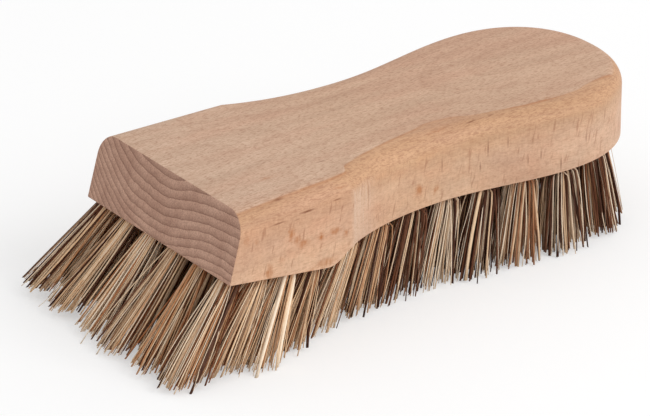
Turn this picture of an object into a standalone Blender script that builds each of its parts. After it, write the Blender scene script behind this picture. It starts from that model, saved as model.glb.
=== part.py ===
"""Hand scrubbing brush: a waisted beech block with a bevelled nose, and tufts of stiff natural fibre.

The block is one piece of wood. Its plan is a nose with almost straight sides, a concave waist that starts at
a sharp crease, and a rounded rear lobe. The top edges are rounded, the front is a flat end-grain face that
leans back, and the underside of the nose is bevelled down to a heel, so that the front tufts point forward.

Each tuft is a bundle of fibre, folded in half and held in its own blind hole by a short flat anchor wire that
bites into the wood on both sides of the hole.

Metres, +Z up, +X to the rounded rear. The outline is drawn with x = 0 at the front's lower edge and z = 0 at
the rear underside. An empty then moves the whole brush, so that its origin is at the centre of what it
stands on.
"""
import math

import bmesh
import bpy
from mathutils import Vector

# Block, seen from above: distances from the front's lower edge, and full widths
BLOCK_LENGTH = 0.1492
FRONT_WIDTH = 0.0661
CREASE_WIDTH = 0.0620
WAIST_WIDTH = 0.0480
LOBE_WIDTH = 0.0581
CREASE_X = 0.0415
WAIST_X = 0.0760
LOBE_X = 0.1178
# Change of half width per length where the waist leaves the crease
CREASE_SLOPE = -0.47
# 2 would make the rear end an ellipse; a larger exponent makes it squarer
REAR_EXPONENT = 2.2

# Block, seen from the side
BLOCK_THICKNESS = 0.0200
# The top edges are rounded a little more at the nose than at the rear
FRONT_EDGE_ROUNDING = 0.0066
REAR_EDGE_ROUNDING = 0.0048
FRONT_LEAN_BACK = math.radians(15.5)
FRONT_EDGE_HEIGHT = 0.0013
HEEL_X = 0.0353
HEEL_DROP = 0.0043

# Holes
HOLE_DIAMETER = 0.0054
HOLE_DEPTH = 0.0100
# Wood left between the rim of a hole and the edge beside it
SIDE_WALL = 0.0025
FRONT_WALL = 0.0009
HEEL_WALL = 0.0011
CREASE_WALL = 0.0008
REAR_WALL = 0.0060
# Distance of the middle tuft of the last row from the row before it
LAST_ROW_STEP = 0.0115
NOSE_ROWS = (6, 5, 5, 5)
FIELD_ROWS = (5, 4, 4, 4, 4, 5, 5, 4)
LAST_ROW = 3

# Tufts
FIBRE_REACH = 0.0250
# The first row leans forwards and the last row backwards, and the rows between turn from one to the other
FRONT_TUFT_LEAN = math.radians(37.0)
REAR_TUFT_LEAN = math.radians(8.0)
# 1 would turn every row by the same angle; a larger exponent keeps the nose's rows more alike
LEAN_EXPONENT = 1.2
SIDE_TUFT_LEAN = math.radians(4.0)
# The nose's tufts splay outwards more, most of all at the front corners, and more on the +Y side
NOSE_SPLAY_MINUS_Y = math.radians(6.0)
NOSE_SPLAY_PLUS_Y = math.radians(15.0)
NOSE_SPLAY_LENGTH = 0.0320
TUFT_TIP_SPREAD = 0.0046
STRAND_DIAMETER = 0.0014
STRANDS_AROUND = 6
TIP_UNEVENNESS = 0.0016
TIP_TRIM = 0.0005

# Anchor wires
ANCHOR_THICKNESS = 0.0005
ANCHOR_WIDTH = 0.0016
ANCHOR_BITE = 0.0006
ANCHOR_ABOVE_HOLE_END = 0.0015

# The gap left between touching pieces
CLEARANCE = 0.0003

# How finely curves are divided
WAIST_STEPS = 9
LOBE_STEPS = 9
REAR_STEPS = 12
ROUNDING_STEPS = 4
HOLE_SIDES = 10
STRAND_SIDES = 3
# Faces that meet at less than this angle are shaded as one smooth surface
SMOOTH_ANGLE = math.radians(24.0)

HOLE_RADIUS = HOLE_DIAMETER / 2
SIDE_INSET = HOLE_RADIUS + SIDE_WALL
# The front holes are slanted, so their rims are ovals along the brush
FRONT_INSET = HOLE_RADIUS / math.cos(FRONT_TUFT_LEAN) + FRONT_WALL
HEEL_INSET = HOLE_RADIUS + HEEL_WALL
CREASE_INSET = HOLE_RADIUS + CREASE_WALL
REAR_INSET = HOLE_RADIUS + REAR_WALL
PLUG_RADIUS = HOLE_RADIUS - CLEARANCE
STRAND_RADIUS = STRAND_DIAMETER / 2
# The ring of strand roots sits just inside the flat sides of the bundle
ROOT_RING_RADIUS = PLUG_RADIUS * math.cos(math.pi / HOLE_SIDES) - STRAND_RADIUS - CLEARANCE / 2
STRAND_ROOT_DEPTH = STRAND_DIAMETER
CUTTER_OVERSHOOT = HOLE_DIAMETER
GOLDEN_RATIO = (1 + math.sqrt(5)) / 2
GOLDEN_ANGLE = 2 * math.pi / GOLDEN_RATIO ** 2

BEECH = ("beech", (0.80, 0.62, 0.45, 1.0), 0.55)
FIBRE = ("mixed_fibre", (0.45, 0.34, 0.24, 1.0), 0.70)


def hermite(t, start, start_slope, end, end_slope):
    """Cubic from start to end as t runs from 0 to 1, with slopes given per unit of t."""
    return (
        (2 * t ** 3 - 3 * t ** 2 + 1) * start
        + (t ** 3 - 2 * t ** 2 + t) * start_slope
        + (3 * t ** 2 - 2 * t ** 3) * end
        + (t ** 3 - t ** 2) * end_slope
    )


def half_width(x):
    """Half the block's width at distance x from the front's lower edge."""
    front, crease, waist, lobe = (w / 2 for w in (FRONT_WIDTH, CREASE_WIDTH, WAIST_WIDTH, LOBE_WIDTH))
    if x <= CREASE_X:
        return front + (crease - front) * x / CREASE_X
    if x <= WAIST_X:
        span = WAIST_X - CREASE_X
        return hermite((x - CREASE_X) / span, crease, CREASE_SLOPE * span, waist, 0.0)
    if x <= LOBE_X:
        return hermite((x - WAIST_X) / (LOBE_X - WAIST_X), waist, 0.0, lobe, 0.0)
    along = min((x - LOBE_X) / (BLOCK_LENGTH - LOBE_X), 1.0)
    return lobe * (1 - along ** REAR_EXPONENT) ** (1 / REAR_EXPONENT)


def rear_end_x(y):
    """Where the rear end of the outline is at distance y from the centre line."""
    across = min(abs(y) / (LOBE_WIDTH / 2), 1.0)
    return LOBE_X + (BLOCK_LENGTH - LOBE_X) * (1 - across ** REAR_EXPONENT) ** (1 / REAR_EXPONENT)


def underside_z(x):
    """Height of the block's underside: the nose's bevel, the heel's rise and the flat rear."""
    if x <= HEEL_X:
        return FRONT_EDGE_HEIGHT - (FRONT_EDGE_HEIGHT + HEEL_DROP) * x / HEEL_X
    if x <= CREASE_X:
        return -HEEL_DROP * (CREASE_X - x) / (CREASE_X - HEEL_X)
    return 0.0


def front_face_x(z):
    """Where the leaning front face is at height z."""
    return (z - FRONT_EDGE_HEIGHT) * math.tan(FRONT_LEAN_BACK)


def edge_rounding(x):
    """Radius of the rounded top edge at distance x from the front's lower edge."""
    return FRONT_EDGE_ROUNDING + (REAR_EDGE_ROUNDING - FRONT_EDGE_ROUNDING) * x / BLOCK_LENGTH


def side_stations():
    """Distances along one side at which the outline has a point, front to rear."""
    stations = [0.0, HEEL_X, CREASE_X]
    stations += [CREASE_X + (WAIST_X - CREASE_X) * i / WAIST_STEPS for i in range(1, WAIST_STEPS + 1)]
    stations += [WAIST_X + (LOBE_X - WAIST_X) * i / LOBE_STEPS for i in range(1, LOBE_STEPS + 1)]
    return stations


def outline():
    """Plan outline as (x, y) points, from the front's -Y corner round the rear to its +Y corner."""
    side = [Vector((x, -half_width(x))) for x in side_stations()]
    for i in range(1, REAR_STEPS + 1):
        angle = 0.5 * math.pi * i / REAR_STEPS
        power = 2 / REAR_EXPONENT
        side.append(Vector((
            LOBE_X + (BLOCK_LENGTH - LOBE_X) * math.sin(angle) ** power,
            -(LOBE_WIDTH / 2) * max(math.cos(angle), 0.0) ** power,
        )))
    side[-1].y = 0.0
    return side + [Vector((p.x, -p.y)) for p in reversed(side[:-1])]


def rounding_ring(points, angle):
    """The outline part of the way up the rounded edge, with its two ends on the leaning front face.

    At an angle of 0 it is at the top of the wall, and at a right angle it is the rim of the flat top.
    """
    share_in, share_down = 1 - math.cos(angle), 1 - math.sin(angle)
    ring = []
    for before, here, after in zip(points, points[1:], points[2:]):
        edge_in = (here - before).normalized()
        edge_out = (after - here).normalized()
        normal_in = Vector((-edge_in.y, edge_in.x))
        normal_out = Vector((-edge_out.y, edge_out.x))
        mitre = (normal_in + normal_out) / (1 + normal_in.dot(normal_out))
        radius = edge_rounding(here.x)
        ring.append((here + radius * share_in * mitre).to_3d())
        ring[-1].z = BLOCK_THICKNESS - radius * share_down
    height = BLOCK_THICKNESS - FRONT_EDGE_ROUNDING * share_down
    front_x = front_face_x(height)
    taper = (CREASE_WIDTH - FRONT_WIDTH) / 2 / CREASE_X
    end_y = half_width(front_x) - FRONT_EDGE_ROUNDING * share_in * math.hypot(1, taper)
    return [Vector((front_x, -end_y, height))] + ring + [Vector((front_x, end_y, height))]


def new_object(name, mesh, parent, finish=None):
    """Puts a mesh in the scene under its name, on the brush's empty."""
    obj = bpy.data.objects.new(name, mesh)
    bpy.context.scene.collection.objects.link(obj)
    obj.parent = parent
    if finish is not None:
        mesh.materials.append(finish)
    return obj


def make_material(name, colour, roughness):
    """A plain Principled finish."""
    material = bpy.data.materials.new(name)
    material.use_nodes = True
    shader = material.node_tree.nodes["Principled BSDF"]
    shader.inputs["Base Color"].default_value = colour
    shader.inputs["Roughness"].default_value = roughness
    shader.inputs["Metallic"].default_value = 0.0
    return material


def make_cutter(name, bm, parent):
    """A mesh that only cuts or joins another, and isn't a piece of the brush."""
    mesh = bpy.data.meshes.new(name)
    bm.to_mesh(mesh)
    bm.free()
    cutter = new_object(name, mesh, parent)
    cutter.display_type = "WIRE"
    cutter.hide_render = True
    return cutter


def add_boolean(obj, other, operation):
    """Cuts other out of obj, or joins the two."""
    modifier = obj.modifiers.new(other.name, "BOOLEAN")
    modifier.operation = operation
    modifier.object = other
    modifier.solver = "EXACT"


def make_block(parent, finish):
    """The beech block before it is drilled."""
    points = outline()
    bm = bmesh.new()
    rings = [[bm.verts.new((p.x, p.y, underside_z(p.x))) for p in points]]
    for i in range(ROUNDING_STEPS + 1):
        rings.append([bm.verts.new(p) for p in rounding_ring(points, 0.5 * math.pi * i / ROUNDING_STEPS)])
    for lower, upper in zip(rings, rings[1:]):
        for i in range(len(points) - 1):
            bm.faces.new((lower[i], lower[i + 1], upper[i + 1], upper[i]))
    bm.faces.new(rings[-1])
    bm.faces.new([ring[0] for ring in rings] + [ring[-1] for ring in reversed(rings)])

    base = rings[0]
    heel = side_stations().index(HEEL_X)
    crease = side_stations().index(CREASE_X)
    bm.faces.new((base[0], base[-1], base[-1 - heel], base[heel]))
    bm.faces.new((base[heel], base[-1 - heel], base[-1 - crease], base[crease]))
    bm.faces.new(base[crease:len(base) - crease])
    bmesh.ops.recalc_face_normals(bm, faces=bm.faces)

    mesh = bpy.data.meshes.new("beech_block")
    bm.to_mesh(mesh)
    bm.free()
    mesh.shade_smooth()
    mesh.set_sharp_from_angle(angle=SMOOTH_ANGLE)
    return new_object("beech_block", mesh, parent, finish)


def spaced(low, high, count):
    """count values from low to high, evenly spaced."""
    return [low + (high - low) * i / (count - 1) for i in range(count)]


def tuft_roots():
    """Where each hole's mouth is, as a list of rows of (x, y)."""
    last_centre = BLOCK_LENGTH - REAR_INSET
    nose_x = spaced(FRONT_INSET, HEEL_X - HEEL_INSET, len(NOSE_ROWS))
    field_x = spaced(CREASE_X + CREASE_INSET, last_centre - LAST_ROW_STEP, len(FIELD_ROWS))
    rows = []
    for x, count in zip(nose_x + field_x, NOSE_ROWS + FIELD_ROWS):
        reach = half_width(x) - SIDE_INSET
        rows.append([(x, y) for y in spaced(-reach, reach, count)])
    # The last row follows the rounded end, with its tufts as far apart as those of the row before it
    step = rows[-1][1][1] - rows[-1][0][1]
    reach = step * (LAST_ROW - 1) / 2
    rows.append([(rear_end_x(y) - REAR_INSET, y) for y in spaced(-reach, reach, LAST_ROW)])
    return rows


class Tuft:
    """One bundle: where it leaves the wood, which way it points, and where its strands run."""

    def __init__(self, x, y, number):
        from_front = x - FRONT_INSET
        from_rear = BLOCK_LENGTH - REAR_INSET - x
        turned = (from_front / (from_front + from_rear)) ** LEAN_EXPONENT
        lean = FRONT_TUFT_LEAN - (FRONT_TUFT_LEAN + REAR_TUFT_LEAN) * turned
        outward = y / (half_width(min(x, LOBE_X)) - SIDE_INSET)
        splay = NOSE_SPLAY_PLUS_Y if y > 0 else NOSE_SPLAY_MINUS_Y
        side_lean = outward * (SIDE_TUFT_LEAN + splay * math.exp(-from_front / NOSE_SPLAY_LENGTH))
        self.number = number
        self.mouth = Vector((x, y, underside_z(x)))
        self.axis = Vector((-math.tan(lean), math.tan(side_lean), -1.0)).normalized()
        self.along_x = (Vector((1, 0, 0)) - self.axis * self.axis.x).normalized()
        self.along_y = self.along_x.cross(self.axis)

    def ring(self, radius, depth, sides):
        """Corners of a regular polygon across the hole, depth below its mouth."""
        centre = self.mouth - self.axis * depth
        turns = [2 * math.pi * i / sides for i in range(sides)]
        return [centre + radius * (math.cos(a) * self.along_x + math.sin(a) * self.along_y) for a in turns]

    def strand_ends(self):
        """Root and tip of each strand's centre line, spread like a fan from the bundle."""
        foot = self.mouth + self.axis * ((self.mouth.z + FIBRE_REACH) / -self.axis.z)
        ends = [(self.mouth, foot)]
        for i in range(STRANDS_AROUND):
            angle = GOLDEN_ANGLE * self.number + 2 * math.pi * i / STRANDS_AROUND
            across, up = math.cos(angle), math.sin(angle)
            root = self.mouth + ROOT_RING_RADIUS * (across * self.along_x + up * self.along_y)
            tip = foot + TUFT_TIP_SPREAD * Vector((across, up, 0))
            ends.append((root, tip))
        return ends


def add_prism(bm, start, end):
    """Adds a closed prism between two rings of corners."""
    first = [bm.verts.new(p) for p in start]
    last = [bm.verts.new(p) for p in end]
    faces = [bm.faces.new(first), bm.faces.new(last)]
    for i in range(len(first)):
        j = (i + 1) % len(first)
        faces.append(bm.faces.new((first[i], first[j], last[j], last[i])))
    bmesh.ops.recalc_face_normals(bm, faces=faces)


def add_strand(bm, root, tip, shortfall):
    """Adds a straight strand, rooted in its bundle and cut off level at its tip."""
    direction = (tip - root).normalized()
    side = direction.cross(Vector((1, 0, 0))).normalized()
    other = direction.cross(side)
    end_z = -FIBRE_REACH + max(0.0, shortfall - TIP_TRIM)
    start_ring, end_ring = [], []
    for i in range(STRAND_SIDES):
        angle = 2 * math.pi * i / STRAND_SIDES
        corner = root + STRAND_RADIUS * (math.cos(angle) * side + math.sin(angle) * other)
        start_ring.append(corner - direction * STRAND_ROOT_DEPTH)
        end_ring.append(corner + direction * ((end_z - corner.z) / direction.z))
    add_prism(bm, start_ring, end_ring)


def add_anchor(bm, tuft, spare):
    """Adds the flat wire across a hole, or with some spare all round it, the slot that it lies in."""
    half_length = HOLE_RADIUS + ANCHOR_BITE + spare
    half_thickness = ANCHOR_THICKNESS / 2 + spare
    inner = HOLE_DEPTH - ANCHOR_ABOVE_HOLE_END + spare
    outer = HOLE_DEPTH - ANCHOR_ABOVE_HOLE_END - ANCHOR_WIDTH - spare
    rings = []
    for depth in (inner, outer):
        centre = tuft.mouth - tuft.axis * depth
        rings.append([
            centre + a * half_thickness * tuft.along_x + b * half_length * tuft.along_y
            for a, b in ((-1, -1), (1, -1), (1, 1), (-1, 1))
        ])
    add_prism(bm, rings[0], rings[1])


def make_tuft(name, tuft, parent, finish):
    """A bundle's packed root in its hole, with its anchor wire and its spread strands joined to it."""
    bm = bmesh.new()
    depth = HOLE_DEPTH - CLEARANCE
    add_prism(bm, tuft.ring(PLUG_RADIUS, depth, HOLE_SIDES), tuft.ring(PLUG_RADIUS, 0.0, HOLE_SIDES))
    mesh = bpy.data.meshes.new(name)
    bm.to_mesh(mesh)
    bm.free()
    obj = new_object(name, mesh, parent, finish)

    bm = bmesh.new()
    for i, (root, tip) in enumerate(tuft.strand_ends()):
        turn = (tuft.number * (STRANDS_AROUND + 1) + i) * GOLDEN_RATIO
        add_strand(bm, root, tip, TIP_UNEVENNESS * (turn % 1))
    add_anchor(bm, tuft, 0.0)
    add_boolean(obj, make_cutter(name + "_strands", bm, parent), "UNION")
    return obj


def drill(block, tufts, parent):
    """Cuts the blind holes, and the small slots that the anchor wires lie in."""
    holes = bmesh.new()
    slots = bmesh.new()
    for tuft in tufts:
        inner = tuft.ring(HOLE_RADIUS, HOLE_DEPTH, HOLE_SIDES)
        outer = tuft.ring(HOLE_RADIUS, -CUTTER_OVERSHOOT, HOLE_SIDES)
        add_prism(holes, inner, outer)
        add_anchor(slots, tuft, CLEARANCE)
    add_boolean(block, make_cutter("hole_cutter", holes, parent), "DIFFERENCE")
    add_boolean(block, make_cutter("slot_cutter", slots, parent), "DIFFERENCE")


def centre_on_its_feet(origin, objects):
    """Moves the empty so that the brush stands on z = 0, centred on the origin."""
    bpy.context.view_layer.update()
    depsgraph = bpy.context.evaluated_depsgraph_get()
    corners = []
    for obj in objects:
        corners += [v.co for v in obj.evaluated_get(depsgraph).data.vertices]
    low = [min(c[i] for c in corners) for i in range(3)]
    high = [max(c[i] for c in corners) for i in range(3)]
    origin.location = (-(low[0] + high[0]) / 2, -(low[1] + high[1]) / 2, -low[2])


def main():
    for obj in list(bpy.data.objects):
        bpy.data.objects.remove(obj)
    origin = bpy.data.objects.new("hand_brush", None)
    bpy.context.scene.collection.objects.link(origin)
    beech = make_material(*BEECH)
    fibre = make_material(*FIBRE)

    block = make_block(origin, beech)
    tufts = []
    pieces = [block]
    for row, roots in enumerate(tuft_roots(), start=1):
        for place, (x, y) in enumerate(roots, start=1):
            tuft = Tuft(x, y, len(tufts))
            tufts.append(tuft)
            pieces.append(make_tuft(f"row_{row:02d}_tuft_{place}", tuft, origin, fibre))
    drill(block, tufts, origin)
    centre_on_its_feet(origin, pieces)
    print("pieces:", len(pieces), "strands:", len(tufts) * (STRANDS_AROUND + 1))


main()
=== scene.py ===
"""Hand scrubbing brush, dressed: a waisted beech block, and fifty-nine tufts of mixed plant fibre.

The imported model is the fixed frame. The block is rebuilt here with finer curves, softened edges and round
drilled holes, in raw beech. Each tuft is rebuilt as a real one is made: single fibres of several sorts are
folded in half round an anchor wire, packed in their hole, and fan out to roughly trimmed tips.

Metres, +Z up, +X to the rounded rear.
"""
import logging
import math
from dataclasses import dataclass
from enum import Enum
from functools import reduce
from typing import Any, Callable, Mapping, Optional, Sequence, Union

import bmesh
import bpy
import numpy as np
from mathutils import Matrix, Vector


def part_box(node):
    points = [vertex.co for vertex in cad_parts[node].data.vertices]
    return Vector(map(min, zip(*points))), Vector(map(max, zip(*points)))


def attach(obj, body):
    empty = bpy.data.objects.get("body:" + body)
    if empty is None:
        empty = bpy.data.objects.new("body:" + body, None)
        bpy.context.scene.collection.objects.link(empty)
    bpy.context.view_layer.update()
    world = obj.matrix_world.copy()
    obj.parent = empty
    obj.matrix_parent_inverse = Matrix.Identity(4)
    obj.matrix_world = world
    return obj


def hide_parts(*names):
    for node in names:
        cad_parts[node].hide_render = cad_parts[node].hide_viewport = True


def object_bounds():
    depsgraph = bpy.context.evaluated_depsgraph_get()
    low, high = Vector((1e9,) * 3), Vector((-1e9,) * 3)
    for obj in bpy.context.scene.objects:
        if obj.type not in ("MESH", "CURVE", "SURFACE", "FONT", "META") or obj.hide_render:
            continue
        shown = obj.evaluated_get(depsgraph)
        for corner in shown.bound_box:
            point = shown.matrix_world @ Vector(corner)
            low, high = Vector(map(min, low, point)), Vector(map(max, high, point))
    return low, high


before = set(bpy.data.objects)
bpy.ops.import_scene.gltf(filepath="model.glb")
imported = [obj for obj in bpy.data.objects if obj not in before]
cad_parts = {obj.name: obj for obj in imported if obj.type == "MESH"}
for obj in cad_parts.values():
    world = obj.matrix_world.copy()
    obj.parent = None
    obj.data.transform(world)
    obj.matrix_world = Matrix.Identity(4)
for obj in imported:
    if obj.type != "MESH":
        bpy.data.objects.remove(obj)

LOG = logging.getLogger("hand_brush")
CAD_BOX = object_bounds()
BODY = "root"
IN_MM = (1000.0, 1000.0, 1000.0)

Colour = tuple[float, float, float, float]
Curve = tuple[tuple[float, float], ...]
Band = tuple[tuple[float, float], tuple[float, float]]
Tints = tuple[tuple[float, Colour], ...]
Socket = bpy.types.NodeSocket
Input = Union[float, Sequence[float], Socket]
Profile = Callable[[float], float]


def srgb(red: int, green: int, blue: int) -> Colour:
    """Turns a colour as a screen shows it into the linear colour that a shader takes.

    Args:
        red, green, blue: Parts of the colour, from 0 to 255.

    Returns:
        The linear colour, with an alpha of 1.
    """
    def linear(part: int) -> float:
        """One part of the colour, made linear."""
        share = part / 255
        return share / 12.92 if share <= 0.04045 else ((share + 0.055) / 1.055) ** 2.4

    return (linear(red), linear(green), linear(blue), 1.0)


class Graph:
    """A node tree in the making, with short calls for the nodes that the finishes use."""

    def __init__(self, tree: bpy.types.NodeTree) -> None:
        """Takes the tree that the nodes go into."""
        self.tree = tree

    def add(self, kind: str, inputs: Optional[Mapping[Union[int, str], Input]] = None,
            **settings: Any) -> bpy.types.Node:
        """Adds a node.

        Args:
            kind: Blender's name for the kind of node.
            inputs: What each input socket gets, by name or number: a constant, or a socket to link.
            settings: The node's own options.

        Returns:
            The new node.
        """
        node = self.tree.nodes.new(kind)
        for name, value in settings.items():
            setattr(node, name, value)
        self.feed(node, inputs or {})
        return node

    def feed(self, node: bpy.types.Node, inputs: Mapping[Union[int, str], Input]) -> None:
        """Gives input sockets of a node a constant or a link each.

        Args:
            node: The node.
            inputs: What each input socket gets, by name or number.
        """
        for key, value in inputs.items():
            if isinstance(value, Socket):
                self.tree.links.new(value, node.inputs[key])
            else:
                node.inputs[key].default_value = value

    def maths(self, operation: str, *values: Input) -> Socket:
        """Result of a Math node on one, two or three values."""
        return self.add("ShaderNodeMath", dict(enumerate(values)), operation=operation).outputs[0]

    def product(self, *values: Input) -> Socket:
        """All the values multiplied."""
        return reduce(lambda first, second: self.maths("MULTIPLY", first, second), values)

    def largest(self, *values: Input) -> Socket:
        """The largest of the values."""
        return reduce(lambda first, second: self.maths("MAXIMUM", first, second), values)

    def between(self, share: Socket, low: float, high: float) -> Socket:
        """Low where share is 0, high where it is 1, and in proportion elsewhere."""
        return self.maths("MULTIPLY_ADD", share, high - low, low)

    def step(self, value: Socket, low: float, high: float) -> Socket:
        """Smooth rise from 0 where value is low to 1 where it is high. Low may be the larger one."""
        inputs = {"Value": value, "From Min": low, "From Max": high, "To Min": 0.0, "To Max": 1.0}
        return self.add("ShaderNodeMapRange", inputs, interpolation_type="SMOOTHSTEP").outputs[0]

    def band(self, value: Socket, edges: Band) -> Socket:
        """1 inside a band of values and 0 outside it. Each edge runs from where it is 0 to where it is 1."""
        return self.product(*(self.step(value, *edge) for edge in edges))

    def curve(self, value: Socket, heights: Curve) -> Socket:
        """A drawn curve.

        Args:
            value: Where on the curve to read it.
            heights: Points of the curve, as (value, height), from its lowest value to its highest.

        Returns:
            The height of the curve there.
        """
        low, high = heights[0][0], heights[-1][0]
        bottom = min(height for _, height in heights)
        span = max(height for _, height in heights) - bottom
        inputs = {"Value": value, "From Min": low, "From Max": high, "To Min": 0.0, "To Max": 1.0}
        share = self.add("ShaderNodeMapRange", inputs).outputs[0]
        node = self.add("ShaderNodeFloatCurve", {"Value": share})
        drawn = node.mapping.curves[0]
        points = [((at - low) / (high - low), (height - bottom) / span) for at, height in heights]
        for _ in points[2:]:
            drawn.points.new(0.5, 0.5)
        for point, place in zip(drawn.points, points):
            point.location = place
        node.mapping.update()
        return self.maths("MULTIPLY_ADD", node.outputs[0], span, bottom)

    def scaled(self, vector: Socket, factors: Input) -> Socket:
        """A vector with each of its parts multiplied by its own factor."""
        return self.add("ShaderNodeVectorMath", {0: vector, 1: factors}, operation="MULTIPLY").outputs[0]

    def shifted(self, point: Socket, origin: Vector) -> Socket:
        """A point as seen from another origin."""
        return self.add("ShaderNodeVectorMath", {0: point, 1: origin}, operation="SUBTRACT").outputs[0]

    def noise(self, vector: Socket, factors: Input, detail: float = 2.0, roughness: float = 0.5) -> Socket:
        """Noise from 0 to 1.

        Args:
            vector: The point to read it at.
            factors: How many lumps a unit of length holds, along each axis.
            detail, roughness: As on the Noise Texture node.

        Returns:
            The noise value.
        """
        inputs = {"Vector": self.scaled(vector, factors), "Scale": 1.0, "Detail": detail,
                  "Roughness": roughness}
        return self.add("ShaderNodeTexNoise", inputs).outputs["Fac"]

    def blend(self, share: Input, first: Input, second: Input, mode: str = "MIX") -> Socket:
        """Mixes two colours, with share of the second."""
        node = self.add("ShaderNodeMix", {0: share, 6: first, 7: second}, data_type="RGBA", blend_type=mode)
        return node.outputs[2]

    def ramp(self, value: Socket, stops: Tints) -> Socket:
        """A colour that runs through others.

        Args:
            value: Where on the ramp to read it, from 0 to 1.
            stops: The colours that it runs through, each with its place.

        Returns:
            The colour there.
        """
        node = self.add("ShaderNodeValToRGB", {0: value})
        elements = node.color_ramp.elements
        for _ in stops[2:]:
            elements.new(0.5)
        for element, (place, colour) in zip(elements, stops):
            element.position = place
            element.color = colour
        return node.outputs[0]

    def parts(self, vector: Socket) -> list[Socket]:
        """The x, y and z of a vector."""
        return list(self.add("ShaderNodeSeparateXYZ", {0: vector}).outputs)


class Effect:
    """A shader node group that several finishes share."""

    def __init__(self, name: str, inputs: Mapping[str, tuple[str, Any]], outputs: Mapping[str, str]) -> None:
        """Makes the empty group.

        Args:
            name: The group's name.
            inputs: Kind of socket and its standing value, by name.
            outputs: Kind of socket, by name.
        """
        self.tree = bpy.data.node_groups.new(name, "ShaderNodeTree")
        for title, (kind, value) in inputs.items():
            socket = self.tree.interface.new_socket(title, in_out="INPUT", socket_type=kind)
            if value is not None:
                socket.default_value = value
        for title, kind in outputs.items():
            self.tree.interface.new_socket(title, in_out="OUTPUT", socket_type=kind)
        self.graph = Graph(self.tree)
        self.given = self.graph.add("NodeGroupInput").outputs
        self.result = self.graph.add("NodeGroupOutput").inputs

    def put_out(self, title: str, value: Socket) -> None:
        """Links a value to one of the group's outputs."""
        self.tree.links.new(value, self.result[title])

    def place(self, graph: Graph, inputs: Mapping[str, Input]) -> bpy.types.NodeOutputs:
        """Places the group in a material, feeds its inputs and returns its outputs."""
        return graph.add("ShaderNodeGroup", inputs, node_tree=self.tree).outputs


def new_material(name: str) -> tuple[bpy.types.Material, Graph, bpy.types.Node]:
    """An empty material.

    Args:
        name: The material's name.

    Returns:
        The material, its graph and its Principled shader.
    """
    material = bpy.data.materials.new(name)
    material.use_nodes = True
    return material, Graph(material.node_tree), material.node_tree.nodes["Principled BSDF"]


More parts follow.
